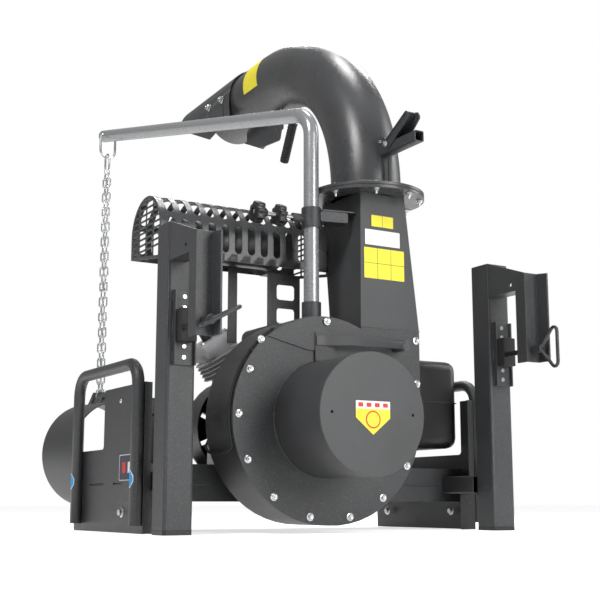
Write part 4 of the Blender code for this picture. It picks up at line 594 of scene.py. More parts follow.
class LEAFVAC_OT_fasteners(bpy.types.Operator):
    """Adds the bolts, nuts and washers that hold the scroll, brackets, flange and frame"""

    bl_idname = "leafvac.fasteners"
    bl_label = "Fasteners"

    def execute(self, context):
        sizes = context.scene.leaf_vacuum_sizes
        self.front_plate(sizes)
        self.swivel(sizes)
        self.brackets(sizes)
        self.frame_bolts(sizes)
        self.outlet(sizes)
        return {"FINISHED"}

    def front_plate(self, sizes):
        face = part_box("volute_front")[0].y
        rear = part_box("volute_shell")[1].y
        form = bmesh.new()
        for number, (x, z) in enumerate(FRONT_BOLTS):
            flange_bolt(form, put(at(x, 0, z), y=face), FRONT, sizes, 1.0, number * 0.5)
        piece("scroll_bolts", form, "machine", ["Zinc Steel"])
        form = bmesh.new()
        for angle in range(0, 360, 45):
            x = FAN_X + BACK_BOLT_CIRCLE * math.cos(math.radians(angle))
            z = FAN_Z + BACK_BOLT_CIRCLE * math.sin(math.radians(angle))
            flange_bolt(form, put(at(x, 0, z), y=rear), BACK, sizes, 0.9, angle)
        piece("scroll_back_bolts", form, "machine", ["Zinc Steel"])
        form = bmesh.new()
        flange_bolt(form, put(at(-0.0885, 0, 0.545), y=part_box("ear_plate")[0].y), FRONT, sizes)
        piece("ear_bolt", form, "machine", ["Zinc Steel"])

    def swivel(self, sizes):
        low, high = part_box("swivel_flange")
        middle = (low + high) / 2
        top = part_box("elbow")[0].z + FLANGE_THICK
        nuts, heads = bmesh.new(), bmesh.new()
        for angle in FLANGE_ANGLES:
            out = Vector((math.cos(math.radians(angle)), math.sin(math.radians(angle)), 0))
            spot = middle + FLANGE_BOLT_CIRCLE * out
            flange_bolt(nuts, put(spot, z=high.z - 0.0088), DOWN, sizes, 0.98, angle, 0.008)
            domed_bolt(heads, put(spot, z=top), UP, 0.0085, 0.0045)
        piece("swivel_nuts", nuts, "machine", ["Zinc Steel"])
        piece("swivel_bolt_heads", heads, "discharge", ["Zinc Steel"])

    def brackets(self, sizes):
        for side in ("left", "right"):
            low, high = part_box("pad_bracket_" + side)
            form = bmesh.new()
            for height in BRACKET_BOLTS:
                place = put(at(0, 0, height), x=(low.x + high.x) / 2, y=low.y + 0.0150)
                washered_bolt(form, place, FRONT, sizes, 0.86, height * 60)
            piece("bracket_bolts_" + side, form, "machine", ["Zinc Steel"])

    def frame_bolts(self, sizes):
        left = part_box("side_panel_left")
        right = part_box("side_panel_right")
        form = bmesh.new()
        for y, z in ((0.6329, 0.0528), (0.3003, 0.052)):
            washered_bolt(form, put(at(0, y, z), x=left[0].x), LEFT, sizes, 1.25, y)
        domed_bolt(form, put(at(0, 0.326, 0.342), x=left[0].x), LEFT)
        for y, z in ((0.5825, 0.0515), (0.2504, 0.0533)):
            washered_bolt(form, put(at(0, y, z), x=right[1].x), RIGHT, sizes, 1.05, y)
            washered_bolt(form, put(at(0, y, z), x=right[0].x), LEFT, sizes, 1.15, y)
        piece("panel_bolts", form, "machine", ["Zinc Steel"])
        form = bmesh.new()
        low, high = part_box("rear_beam")
        for x in (-0.44, -0.15, 0.15, 0.44):
            washered_bolt(form, put(at(x, 0, 0), y=high.y, z=(low.z + high.z) / 2), BACK, sizes, 1.0, x)
        piece("rear_beam_bolts", form, "machine", ["Zinc Steel"])

    def outlet(self, sizes):
        """Bolts and nuts that clamp the hood's sides, with a short slot for its tilt, drawn as a dark film of painted
        shade.
        """
        low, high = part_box("discharge_hood")
        form, slots = bmesh.new(), bmesh.new()
        for x, axis in ((low.x + 0.0048, LEFT), (high.x - 0.0048, RIGHT)):
            for y, z in HOOD_BOLTS:
                flange_bolt(form, put(at(0, y, z), x=x) + axis * 0.002, axis, sizes, 1.3, y, 0.006)
            # Each slot is a thin black film on the hood's side: painted shade standing in for its opening.
            slab(slots, rounded(-0.004, -0.030, 0.004, 0.030, 0.0038), put(at(0, *HOOD_SLOT), x=x), UP.cross(axis), UP,
                 0.0006)
        piece("hood_bolts", form, "hood", ["Zinc Steel"])
        piece("hood_slots", slots, "hood", ["Moulding"])


class LEAFVAC_OT_welds(bpy.types.Operator):
    """Adds the weld beads along the main seams"""

    bl_idname = "leafvac.welds"
    bl_label = "Welds"

    def execute(self, context):
        size = context.scene.leaf_vacuum_sizes.weld_size
        form = bmesh.new()
        low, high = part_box("inlet_drum")
        centre = put(at(0, 0, FAN_Z), x=(low.x + high.x) / 2, y=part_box("volute_front")[0].y)
        bead(form, circle_path(centre, BACK, DRUM_RADIUS + size * 0.6, 120), size, True)
        centre.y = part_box("inlet_cover")[1].y
        bead(form, circle_path(centre, BACK, DRUM_RADIUS - size * 0.2, 120), size * 0.6, True)
        low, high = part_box("chute")
        foot = [Vector((x, y, low.z)) for x, y in oblong(low.x, low.y, high.x, high.y)]
        bead(form, foot, size * 0.7, True)
        low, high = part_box("boom_socket")
        centre = put((low + high) / 2, z=low.z + 0.001)
        bead(form, circle_path(centre, UP, 0.0265 + size * 0.4, 40), size, True)
        piece("scroll_welds", form, "machine", ["Weld Bead"], 60)
        form = bmesh.new()
        centre = put(at(SWIVEL_X, SWIVEL_Y, 0), z=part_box("elbow")[0].z + 0.0065)
        bead(form, circle_path(centre, UP, ELBOW_RADIUS + size * 0.5, 96), size, True)
        piece("elbow_weld", form, "discharge", ["Weld Bead"], 60)
        for side in ("left", "right"):
            self.post_welds(side, size * 0.8)
        return {"FINISHED"}

    def post_welds(self, side, size):
        """A seam down the hook's edge, and three short beads on each side of the pad's bracket."""
        form = bmesh.new()
        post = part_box("post_" + side)
        edge = post[0].y - size * 0.375
        foot = Vector((post[0].x, edge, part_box("hook_" + side)[0].z + 0.012))
        top = Vector((post[0].x, edge, post[1].z - 0.006))
        bead(form, [foot.lerp(top, i / 8) for i in range(9)], size)
        low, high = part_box("pad_bracket_" + side)
        for x in (low.x, high.x):
            for start, end in ((0.03, 0.16), (0.40, 0.58), (0.84, 0.97)):
                bead(form, [Vector((x, post[0].y - 0.001, low.z + (high.z - low.z) * share))
                            for share in (start, end)],
                     size)
        piece("post_welds_" + side, form, "machine", ["Weld Bead"], 60)


# Round parts


ELBOW_RADIUS = 0.099
ELBOW_WALL = 0.003
ELBOW_BEND = 0.481
ELBOW_RISE = 0.025
ELBOW_TURN = math.radians(92.0)
ELBOW_RUN = 0.336
FLANGE_RADIUS = 0.164
FLANGE_THICK = 0.0090


def elbow_axis(y):
    """Centre of the elbow's upper part at a depth from the machine's zero, and the way that it runs there."""
    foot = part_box("elbow")[0].z
    bend_end = SWIVEL_Y + ELBOW_BEND * (1 - math.cos(ELBOW_TURN))
    if y > bend_end:
        turn, extra = ELBOW_TURN, (y - bend_end) / math.sin(ELBOW_TURN)
    else:
        turn, extra = math.acos(max(-1.0, 1 - (y - SWIVEL_Y) / ELBOW_BEND)), 0.0
    way = Vector((0, math.sin(turn), math.cos(turn)))
    start = Vector((at(SWIVEL_X, 0, 0).x, at(0, SWIVEL_Y + ELBOW_BEND * (1 - math.cos(turn)), 0).y,
                    foot + ELBOW_RISE + ELBOW_BEND * math.sin(turn)))
    return start + way * extra, way


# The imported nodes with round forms, whose looks come from a smoother skin of the same shape
SOFTENED = {
    "discharge_hood": "Smooth Coat", "boom_tube": "Zinc Tube", "shackle": "Zinc Steel", "hose_ring": "Speckled Coat",
    "inlet_drum": "Smooth Coat", "inlet_cover": "Smooth Coat", "lifting_handle": "Speckled Coat",
    "volute_shell": "Speckled Coat", "boom_socket": "Speckled Coat",
    "clamp_screw_left": "Dark Steel", "clamp_screw_right": "Dark Steel",
    "muffler": "Dark Steel", "cylinder": "Cast Alloy", "blower_housing": "Moulding",
    "fuel_tank": "Moulding", "fuel_cap": "Moulding", "control_cable": "Rubber", "recoil_handle": "Moulding",
    "crankshaft": "Dark Steel", "brace_strap": "Smooth Coat",
    "air_cleaner": "Moulding", "battery_box": "Moulding", "impeller": "Dark Steel", "lock_pin": "Dark Steel",
}


class LEAFVAC_OT_round_parts(bpy.types.Operator):
    """Adds the smooth elbow with its flange, and smooth skins over the other round parts"""

    bl_idname = "leafvac.round_parts"
    bl_label = "Round Parts"

    def execute(self, context):
        self.elbow()
        record = frame["record"]
        owners = {name: body for body, names in record["behaviour"]["bodies"].items() for name in names}
        for name, finish in SOFTENED.items():
            form = packed_form(name)
            bmesh.ops.dissolve_limit(form, angle_limit=math.radians(0.05), verts=form.verts[:], edges=form.edges[:])
            bmesh.ops.triangulate(form, faces=[face for face in form.faces if len(face.verts) > 4])
            made = piece(name + "_skin", form, owners[name], [finish], 32)
            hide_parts(name)
        return {"FINISHED"}

    def elbow(self):
        """A true round bend: a short rise, a wide bend and a straight run, open at both ends."""
        centre = put(at(SWIVEL_X, SWIVEL_Y, 0), z=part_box("elbow")[0].z)
        path = [(centre, UP)]
        bend_rows = 36
        for i in range(bend_rows + 1):
            turn = ELBOW_TURN * i / bend_rows
            step = Vector((0, ELBOW_BEND * (1 - math.cos(turn)), ELBOW_RISE + ELBOW_BEND * math.sin(turn)))
            path.append((centre + step, Vector((0, math.sin(turn), math.cos(turn)))))
        end, way = path[-1]
        path += [(end + way * ELBOW_RUN * 0.5, way), (end + way * ELBOW_RUN, way)]
        form = bmesh.new()
        rows = [ring(form, spot, RIGHT, Vector((0, -way.z, way.y)), ELBOW_RADIUS, 72) for spot, way in path]
        rows += [ring(form, spot, RIGHT, Vector((0, -way.z, way.y)), ELBOW_RADIUS - ELBOW_WALL, 72)
                 for spot, way in reversed(path)]
        bridged(form, rows + rows[:1])
        self.flange(form, centre, 0.0002, FLANGE_THICK)
        made = piece("smooth_elbow", form, "discharge", ["Gloss Coat"], 40)
        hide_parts("elbow")
        form = bmesh.new()
        self.flange(form, put(centre, z=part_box("swivel_flange")[1].z), 0.0002 - FLANGE_THICK, 0.0)
        made = piece("swivel_ring", form, "machine", ["Gloss Coat"], 40)
        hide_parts("swivel_flange")

    def flange(self, form, centre, low_z, high_z):
        """A flat ring with eased rims, between two heights from its centre."""
        ease = 0.0008
        bore = ELBOW_RADIUS - 0.001
        section = ((bore, low_z), (FLANGE_RADIUS - ease, low_z), (FLANGE_RADIUS, low_z + ease),
                   (FLANGE_RADIUS, high_z - ease), (FLANGE_RADIUS - ease, high_z), (bore, high_z))
        rings = []
        for radius, height in section:
            rings.append([form.verts.new(centre + Vector((x, y, height))) for x, y in disc(radius, 96)])
        bridged(form, rings + rings[:1])


# Guard over the exhaust


GUARD_PITCH = 0.0393       # from slot to slot
GUARD_SLOT = 0.0220        # width of a slot
GUARD_FIRST = -0.4693      # first slot's middle, from the machine's own zero
GUARD_COUNT = 12
GUARD_SHEET = 0.0025


class LEAFVAC_OT_guard(bpy.types.Operator):
    """Adds the slotted guard with its gridded ends"""

    bl_idname = "leafvac.guard"
    bl_label = "Exhaust Guard"

    def execute(self, context):
        low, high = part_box("exhaust_guard")
        self.left, self.right = low.x, high.x
        self.near, self.far, self.top = low.y, high.y, high.z
        self.reach = (self.far - self.near) / 2
        self.middle = (self.far + self.near) / 2
        self.spring = self.top - self.reach
        self.front_foot, self.back_foot = at(0, 0, 0.7120).z, at(0, 0, 0.7270).z
        self.front_run = self.spring - self.front_foot
        self.back_run = self.spring - self.back_foot
        self.arc_run = math.pi * self.reach        # run over the round top
        form = bmesh.new()
        self.shell(form)
        for side in (self.left, self.right - GUARD_SHEET):
            self.end_plate(form, side)
        made = piece("slotted_guard", form, "machine", ["Gloss Coat"], 40)
        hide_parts("exhaust_guard")
        return {"FINISHED"}

    def on_profile(self, run, inset):
        """Place on the folded sheet at a run up the front, over the round top and down the back."""
        if run < self.front_run:
            return self.near + inset, self.front_foot + run
        if run < self.front_run + self.arc_run:
            angle = (run - self.front_run) / self.reach
            size = self.reach - inset
            return self.middle - size * math.cos(angle), self.spring + size * math.sin(angle)
        return self.far - inset, self.spring - (run - self.front_run - self.arc_run)

    def shell(self, form):
        """The folded sheet: a strip for each slot, from the middle of one bar to the middle of the next."""
        crown_end = self.front_run + self.arc_run
        whole = crown_end + self.back_run
        slots = ((0.022, self.front_run + 0.028), (self.front_run + 0.044, self.front_run + 0.148),
                 (crown_end - 0.148, crown_end - 0.044), (crown_end - 0.028, whole - 0.022))
        half = GUARD_SLOT / 2
        runs = {0.0, whole, crown_end, *(self.front_run + self.arc_run * i / 28 for i in range(29))}
        for start, end in slots:
            runs |= {start, end}
            for share in (0.08, 0.3, 0.6, 1.0):
                runs |= {start + half * share, end - half * share}

        def opening(run):
            for start, end in slots:
                if start < run < end:
                    edge = min(run - start, end - run)
                    return math.sqrt(max(0.0, half * half - (half - edge) ** 2)) if edge < half else half
            return 0.0

        middles = [at(GUARD_FIRST + GUARD_PITCH * i, 0, 0).x for i in range(GUARD_COUNT)]
        bars = [at(GUARD_FIRST + GUARD_PITCH * (i + 0.5), 0, 0).x for i in range(GUARD_COUNT - 1)]
        for left, middle, right in zip([self.left] + bars, middles, bars + [self.right]):
            edges = []
            for run in sorted(runs):
                gap = opening(run)
                row = []
                for x in (left, middle - gap, middle + gap, right):
                    row += [form.verts.new((x, *self.on_profile(run, inset))) for inset in (0.0, GUARD_SHEET)]
                edges.append((gap, row))
            for (gap, low), (above, high) in zip(edges, edges[1:]):
                for a in (0, 4):
                    form.faces.new((low[a], low[a + 2], high[a + 2], high[a]))
                    form.faces.new((low[a + 1], high[a + 1], high[a + 3], low[a + 3]))
                if gap > 0 or above > 0:
                    form.faces.new((low[2], low[3], high[3], high[2]))
                    form.faces.new((low[4], high[4], high[5], low[5]))
            for gap, row in (edges[0], edges[-1]):
                form.faces.new((row[0], row[1], row[7], row[6]))
        bmesh.ops.remove_doubles(form, verts=form.verts[:], dist=0.00002)

    def end_plate(self, form, x):
        """A sheet end with rows of openings, bounded by the round top and a sloping foot."""
        columns, rows, steps = 4, 9, 24
        bar, border = 0.0050, 0.0085
        inside = border * 0.6
        wide = (2 * self.reach - 2 * border + bar) / columns
        tall = (self.top - self.back_foot - 2 * border + bar) / rows

        def foot_at(y):
            return self.back_foot - (self.far - y) * 0.14

        for i in range(steps):
            a, b = math.pi * i / steps, math.pi * (i + 1) / steps
            self.plate(form, x, [(self.middle - size * math.cos(t), self.spring + size * math.sin(t))
                                 for size, t in ((self.reach, a), (self.reach, b), (self.reach - border, b),
                                                 (self.reach - border, a))])
        for y0, y1 in ((self.near, self.near + border), (self.far - border, self.far)):
            self.plate(form, x, [(y0, foot_at(y0)), (y1, foot_at(y1)), (y1, self.spring), (y0, self.spring)])
        y0, y1 = self.near + border, self.far - border
        self.plate(form, x, [(y0, foot_at(y0)), (y1, foot_at(y1)), (y1, foot_at(y1) + border),
                             (y0, foot_at(y0) + border)])
        for column in range(1, columns):
            y = self.near + border + wide * column - bar
            top = self.spring + math.sqrt((self.reach - inside) ** 2 - (y + bar / 2 - self.middle) ** 2)
            self.plate(form, x, oblong(y, foot_at(y) + border, y + bar, top))
        for row in range(1, rows + 1):
            z = self.back_foot - 0.010 + border + tall * row - bar
            y0, y1 = self.near + inside, self.far - inside
            if z + bar > self.spring:
                half = math.sqrt(max(0.0, (self.reach - inside) ** 2 - (z + bar - self.spring) ** 2))
                y0, y1 = self.middle - half, self.middle + half
            if y1 - y0 > 0.030:
                self.plate(form, x, oblong(y0, z, y1, z + bar))

    def plate(self, form, x, points):
        """A flat piece of the end's sheet, by its outline in depth and height."""
        rows = [[form.verts.new((x + depth, y, z)) for y, z in points] for depth in (0.0, GUARD_SHEET)]
        capped(form, rows)
        bridged(form, rows)


# Turning tube, lock lever, grip plate and the boom collar's arm


LEVER_RISE = math.radians(29.4)
LEVER_BOLT = (-0.0448, 1.0464)        # depth and height of the lever's visible bolt
LEVER_PIVOT = (-0.0182, 1.0601)       # depth and height of the axis that it turns on
LEVER_SHEET = 0.003


def hollow_bar(form, place, half, front, back, wall):
    """A square tube along the depth, open at both ends."""
    rows = []
    for size, y in ((half, back), (half, front), (half - wall, front), (half - wall, back)):
        outline = rounded(-size, -size, size, size, max(0.001, 0.004 - (half - size)), 3)
        rows.append([form.verts.new((place.x + a, y, place.z + b)) for a, b in outline])
    bridged(form, rows + rows[:1])


class LEAFVAC_OT_steering(bpy.types.Operator):
    """Adds the tube and lever that turn and lock the elbow, the plate of its grip, and the boom collar's arm"""

    bl_idname = "leafvac.steering"
    bl_label = "Steering Parts"

    def execute(self, context):
        sizes = context.scene.leaf_vacuum_sizes
        form = bmesh.new()
        hollow_bar(form, at(SWIVEL_X, 0, 1.037), 0.015, at(0, -0.172, 0).y, at(0, -0.003, 0).y, 0.0025)
        made = piece("square_tube", form, "discharge", ["Speckled Coat"])
        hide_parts("turning_tube")
        self.lever(sizes)
        self.grip_plate()
        self.collar_arm()
        return {"FINISHED"}

    def lever(self, sizes):
        """A channel of two cheeks and a web, its bolts, and the lug that its pivot goes through."""
        along = Vector((0, -math.cos(LEVER_RISE), math.sin(LEVER_RISE)))
        above = Vector((0, math.sin(LEVER_RISE), math.cos(LEVER_RISE)))
        heel = [(-0.024, 0.036), (-0.027, 0.022), (-0.018, 0.008), (-0.016, -0.010), (-0.008, -0.017)]
        web_line = [(0.1143, 0.0154), (0.006, 0.0154), (-0.010, 0.036)]
        near = heel + [(0.0102, -0.0165), (0.1157, -0.0060), (0.1165, 0.010)] + web_line
        far = heel + [(0.0837, -0.0195), (0.1195, -0.0125), (0.1225, -0.004), (0.1215, 0.008)] + web_line
        bolt = at(SWIVEL_X, *LEVER_BOLT)
        form = bmesh.new()
        slab(form, [(-a, b) for a, b in near][::-1], bolt + LEFT * 0.0175, -along, above, LEVER_SHEET, 0, 0.0006)
        slab(form, far, bolt + RIGHT * 0.0175, along, above, LEVER_SHEET, 0, 0.0006)
        slab(form, oblong(-0.0205, 0.006, 0.0205, 0.1143), bolt + above * 0.0124, RIGHT, along, LEVER_SHEET)
        made = piece("channel_lever", form, "lever", ["Speckled Coat"], 30)
        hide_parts("lock_lever")
        form = bmesh.new()
        for axis in (LEFT, RIGHT):
            flange_bolt(form, bolt + axis * 0.0205, axis, sizes, 0.85, 12.0)
        pivot = at(SWIVEL_X, *LEVER_PIVOT)
        turned(form, [(0, -0.023), (0.0040, -0.023), (0.0045, -0.022), (0.0045, 0.022), (0.0040, 0.023), (0, 0.023)],
               pivot, RIGHT, 18)
        piece("lever_bolts", form, "lever", ["Zinc Steel"])
        form = bmesh.new()
        lug = [(0.016, 1.046), (-0.002, 1.050), (-0.006, 1.060), (-0.006, 1.068), (-0.002, 1.071), (0.016, 1.064)]
        slab(form, lug, put(pivot + LEFT * 0.003, z=0), BACK, UP, 0.006)
        piece("lever_lug", form, "discharge", ["Speckled Coat"], 30)

    def grip_plate(self):
        """The grip's bent bar, and its plate across the machine's width with one small upright opening."""
        outline = [(0.8098, 1.3225), (0.8098, 1.2892), (0.7193, 1.2481), (0.5900, 1.2385), (0.5826, 1.2440),
                   (0.5696, 1.2829), (0.5696, 1.3310)]
        opening = [(0.6085, 1.2845), (0.6085, 1.2695), (0.5995, 1.2695), (0.5995, 1.2845)]
        bar = [(0.600, 1.306), (0.560, 1.302), (0.520, 1.296), (0.505, 1.288), (0.4955, 1.274), (0.5567, 1.1545)]
        form = bmesh.new()
        faces = []
        for x in (0.0975, 0.1025):
            loops = [[form.verts.new(at(x, *spot)) for spot in points] for points in (outline, opening)]
            edges = [form.edges.new((loop[i], loop[(i + 1) % len(loop)]))
                     for loop in loops for i in range(len(loop))]
            bmesh.ops.triangle_fill(form, use_beauty=True, edges=edges)
            faces.append(loops)
        for near, far in zip(*faces):
            bridged(form, [near, far])
        swept(form, [at(SWIVEL_X, *spot) for spot in bar], 0.0085, 14)
        made = piece("grip_bar_and_plate", form, "discharge", ["Smooth Coat"], 35)
        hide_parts("turning_grip")

    def collar_arm(self):
        """The collar without its packed arm, and a folded arm whose top sheet reaches the chute's front corner."""
        form = packed_form("boom_collar")
        limit = at(-0.0665, 0, 0).x
        gone = [face for face in form.faces if all(vert.co.x > limit for vert in face.verts)
                or max(vert.co.x for vert in face.verts) > limit + 0.006]
        bmesh.ops.delete(form, geom=gone, context="FACES")
        turned(form, [(0.0248, -0.0275), (0.0262, -0.0275), (0.0270, -0.0262), (0.0270, 0.0262), (0.0262, 0.0275),
                      (0.0248, 0.0275)], at(-0.090, 0.070, 0.840), UP, 56)
        along = Vector((0.0965, -0.020, 0)).normalized()
        slab(form, rounded(0.0, at(0, 0, 0.8285).z, 0.0800, at(0, 0, 0.8575).z, 0.0050, 3), at(-0.0660, 0.0880, 0),
             along, UP, 0.0440, 0, 0.0012)
        slab(form, [(-0.0700, 0.0425), (0.0238, 0.0225), (0.0238, 0.0900), (-0.0700, 0.0960)], at(0, 0, 0.8578),
             RIGHT, BACK, 0.0045, 0, 0.0008)
        made = piece("collar_with_arm", form, "machine", ["Speckled Coat"], 32)
        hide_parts("boom_collar")


class LEAFVAC_OT_side_parts(bpy.types.Operator):
    """Adds the long hose ring, the right lifting handle and the side panels' front flanges"""

    bl_idname = "leafvac.side_parts"
    bl_label = "Side Parts"

    def execute(self, context):
        low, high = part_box("hose_ring")
        centre = put((low + high) / 2, z=low.z + 0.170)
        turn = math.radians(10.07)
        axis = Vector((-math.sin(turn), math.cos(turn), 0))
        form = bmesh.new()
        outer, inner, front, back, ease = 0.1705, 0.1665, -0.125, 0.0715, 0.0006
        turned(form, [(inner, front), (outer - ease, front), (outer, front + ease), (outer, back - ease),
                      (outer - ease, back), (inner, back), (inner, front)], centre, axis, 96)
        piece("hose_ring_sleeve", form, "ring_group", ["Smooth Coat"], 40)
        form = packed_form("lifting_handle")
        for vert in form.verts:
            vert.co.x = 2 * ZERO.x - vert.co.x
        piece("lifting_handle_right", form, "machine", ["Smooth Coat"], 32)
        form = bmesh.new()
        for side in (LEFT, RIGHT):
            slab(form, rounded(-0.0175, 0.0, 0.0175, at(0, 0, 0.1020).z, 0.0020, 2), at(0, 0.1630, 0) + side * 0.4890,
                 RIGHT, UP, 0.003, 0, 0.0006)
        piece("panel_front_flanges", form, "machine", ["Speckled Coat"], 30)
        return {"FINISHED"}


# Chain, knobs and grip


BOOM_TIP = (-0.2792, 1.1431, 1.3488)     # where the shackle hangs, from the machine's own zero
BOOM_TURN = math.radians(10.0)
ALONG = Vector((-math.sin(BOOM_TURN), math.cos(BOOM_TURN), 0))
ASIDE = Vector((math.cos(BOOM_TURN), math.sin(BOOM_TURN), 0))
STRAND_APART = 0.022
LINK_PITCH = 0.0262
LINK_WIDTH = 0.0135
KNOB_RADIUS = 0.030
KNOB_LOBES = 8


def link_path(centre, across, length, width, steps=5):
    """Points round an upright oval link that is as wide as given along across."""
    half = width / 2
    straight = length / 2 - half
    points = []
    for turn, sign in ((0, 1), (180, -1)):
        for i in range(steps + 1):
            angle = math.radians(turn + 180 * i / steps)
            points.append(centre + across * (half * math.cos(angle))
                          + DOWN * (-straight * sign - half * math.sin(angle)))
    return points


class LEAFVAC_OT_chain(bpy.types.Operator):
    """Adds the two strands of links between the shackle and the hose ring"""

    bl_idname = "leafvac.chain"
    bl_label = "Chain"

    def execute(self, context):
        wire = context.scene.leaf_vacuum_sizes.chain_wire
        tip = at(*BOOM_TIP)
        low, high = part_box("chain")
        form = bmesh.new()
        swept(form, link_path(put(tip, z=high.z - 0.035), ALONG, 0.070, STRAND_APART + 0.004, 6), wire * 1.35, 8, True)
        strand_top = high.z - 0.062
        strand = strand_top - low.z - 0.010
        count = round(strand / LINK_PITCH)
        pitch = strand / count
        for side in (-0.5, 0.5):
            for number in range(count):
                lean = 0.0012 * math.sin(number * 1.9 + side * 4)
                centre = put(tip, z=strand_top - pitch * (number + 0.5)) + ALONG * (STRAND_APART * side + lean)
                turn = math.radians(32 + 90 * (number % 2) + 9 * math.sin(number * 2.3 + side))
                across = (ALONG * math.cos(turn) + ASIDE * math.sin(turn)).normalized()
                swept(form, link_path(centre, across, pitch + wire * 3.4, LINK_WIDTH), wire, 8, True)
        made = piece("chain_links", form, "chain_run", ["Zinc Steel"], 70)
        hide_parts("chain")
        return {"FINISHED"}


def star_knob(form, place, thick, hole):
    """A knob that faces left: deep rounded lobes, a crowned face and a hole in it."""
    steps = KNOB_LOBES * 8
    matrix = Matrix.Translation(place) @ turn_to(LEFT)
    rows = []
    for share, height in ((0.55, 0.0), (0.94, 0.0), (1.0, 0.14), (1.0, 0.72), (0.95, 0.88), (0.80, 0.96), (0.45, 1.0),
                          (hole / KNOB_RADIUS, 1.0), (hole / KNOB_RADIUS, 0.80)):
        row = []
        for i in range(steps):
            angle = math.tau * i / steps
            wave = 0.5 + 0.5 * math.cos(angle * KNOB_LOBES)
            out = KNOB_RADIUS * share * (1 - 0.17 * (1 - wave) ** 1.5 * min(1.0, share * 1.1) ** 3)
            row.append(form.verts.new(matrix @ Vector((out * math.cos(angle), out * math.sin(angle), thick * height))))
        rows.append(row)
    bridged(form, rows)
    capped(form, rows)


class LEAFVAC_OT_knobs(bpy.types.Operator):
    """Adds the star knobs on the boom's clamp screw, and the rubber sleeve of the turning grip"""

    bl_idname = "leafvac.knobs"
    bl_label = "Knobs and Grip"

    def execute(self, context):
        low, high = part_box("boom_lock_screw")
        end = put((low + high) / 2, x=low.x)
        form = bmesh.new()
        star_knob(form, end + RIGHT * 0.0265, 0.0265, 0.010)
        turned(form, [(0, 0), (0.0135, 0), (0.0125, 0.012), (0.0110, 0.014), (0, 0.014)], end + RIGHT * 0.026, RIGHT)
        turned(form, [(0, 0), (0.0060, 0), (0.0060, 0.004), (0, 0.0055)], end + RIGHT * 0.006, LEFT, 16, 1)
        start = end + RIGHT * 0.038
        length = high.x - start.x
        turns = 34
        thread = []
        for i in range(turns):
            thread += [(0.0060, length * (i + 0.1) / turns * 0.86), (0.0053, length * (i + 0.6) / turns * 0.86)]
        turned(form, [(0, 0), *thread, (0.0060, length * 0.87), (0.0060, length * 0.985), (0.0050, length),
                      (0, length)], start, RIGHT, 16, 1)
        made = piece("boom_lock_knob", form, "boom_screw", ["Moulding", "Zinc Steel"], 40)
        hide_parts("boom_lock_screw")
        low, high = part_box("jam_knob")
        form = bmesh.new()
        star_knob(form, put((low + high) / 2, x=high.x), high.x - low.x, 0.0066)
        made = piece("boom_jam_knob", form, "boom_jam", ["Moulding"], 40)
        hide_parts("jam_knob")
        self.grip_sleeve()
        return {"FINISHED"}

    def grip_sleeve(self):
        """Ribbed rubber over the grip's bar, with a rim at its top."""
        start, end = at(SWIVEL_X, 0.497, 1.271), at(SWIVEL_X, 0.5567, 1.1545)
        axis = end - start
        profile = [(0, 0), (0.0150, 0), (0.0152, 0.003)]
        ribs = 13
        for i in range(ribs):
            height = 0.005 + (axis.length - 0.012) * i / ribs
            profile += [(0.0146, height), (0.0146, height + 0.0058), (0.0137, height + 0.0066),
                        (0.0137, height + 0.0078)]
        profile += [(0.0142, axis.length - 0.005), (0.0118, axis.length - 0.001), (0.006, axis.length + 0.001),
                    (0, axis.length + 0.001)]
        form = bmesh.new()
        turned(form, profile, start, axis, 28)
        piece("grip_rubber", form, "discharge", ["Rubber"], 50)


# Plain coloured panels


# Each of the chute's panels: place across and up, width, height, finish, columns, rows
CHUTE_PANELS = ((0.0960, 0.8380, 0.0720, 0.0320, 0, 2, 1), (0.0960, 0.7910, 0.1150, 0.0430, 2, 1, 1),
                (0.1010, 0.7190, 0.1320, 0.0850, 0, 3, 2))


RULE = 0.0006                         # half the width of a panel's dividing line


def label_plate(form, outline, place, across, up, border=0.0022, finish=0, rim=1):
    """A thin film with a darker border round it."""
    middle = sum((Vector(point) for point in outline), Vector((0, 0))) / len(outline)
    wide = [tuple(Vector(point) + (Vector(point) - middle).normalized() * border) for point in outline]
    slab(form, wide, place, across, up, 0.00035, rim)
    slab(form, outline, place, across, up, 0.00055, finish)


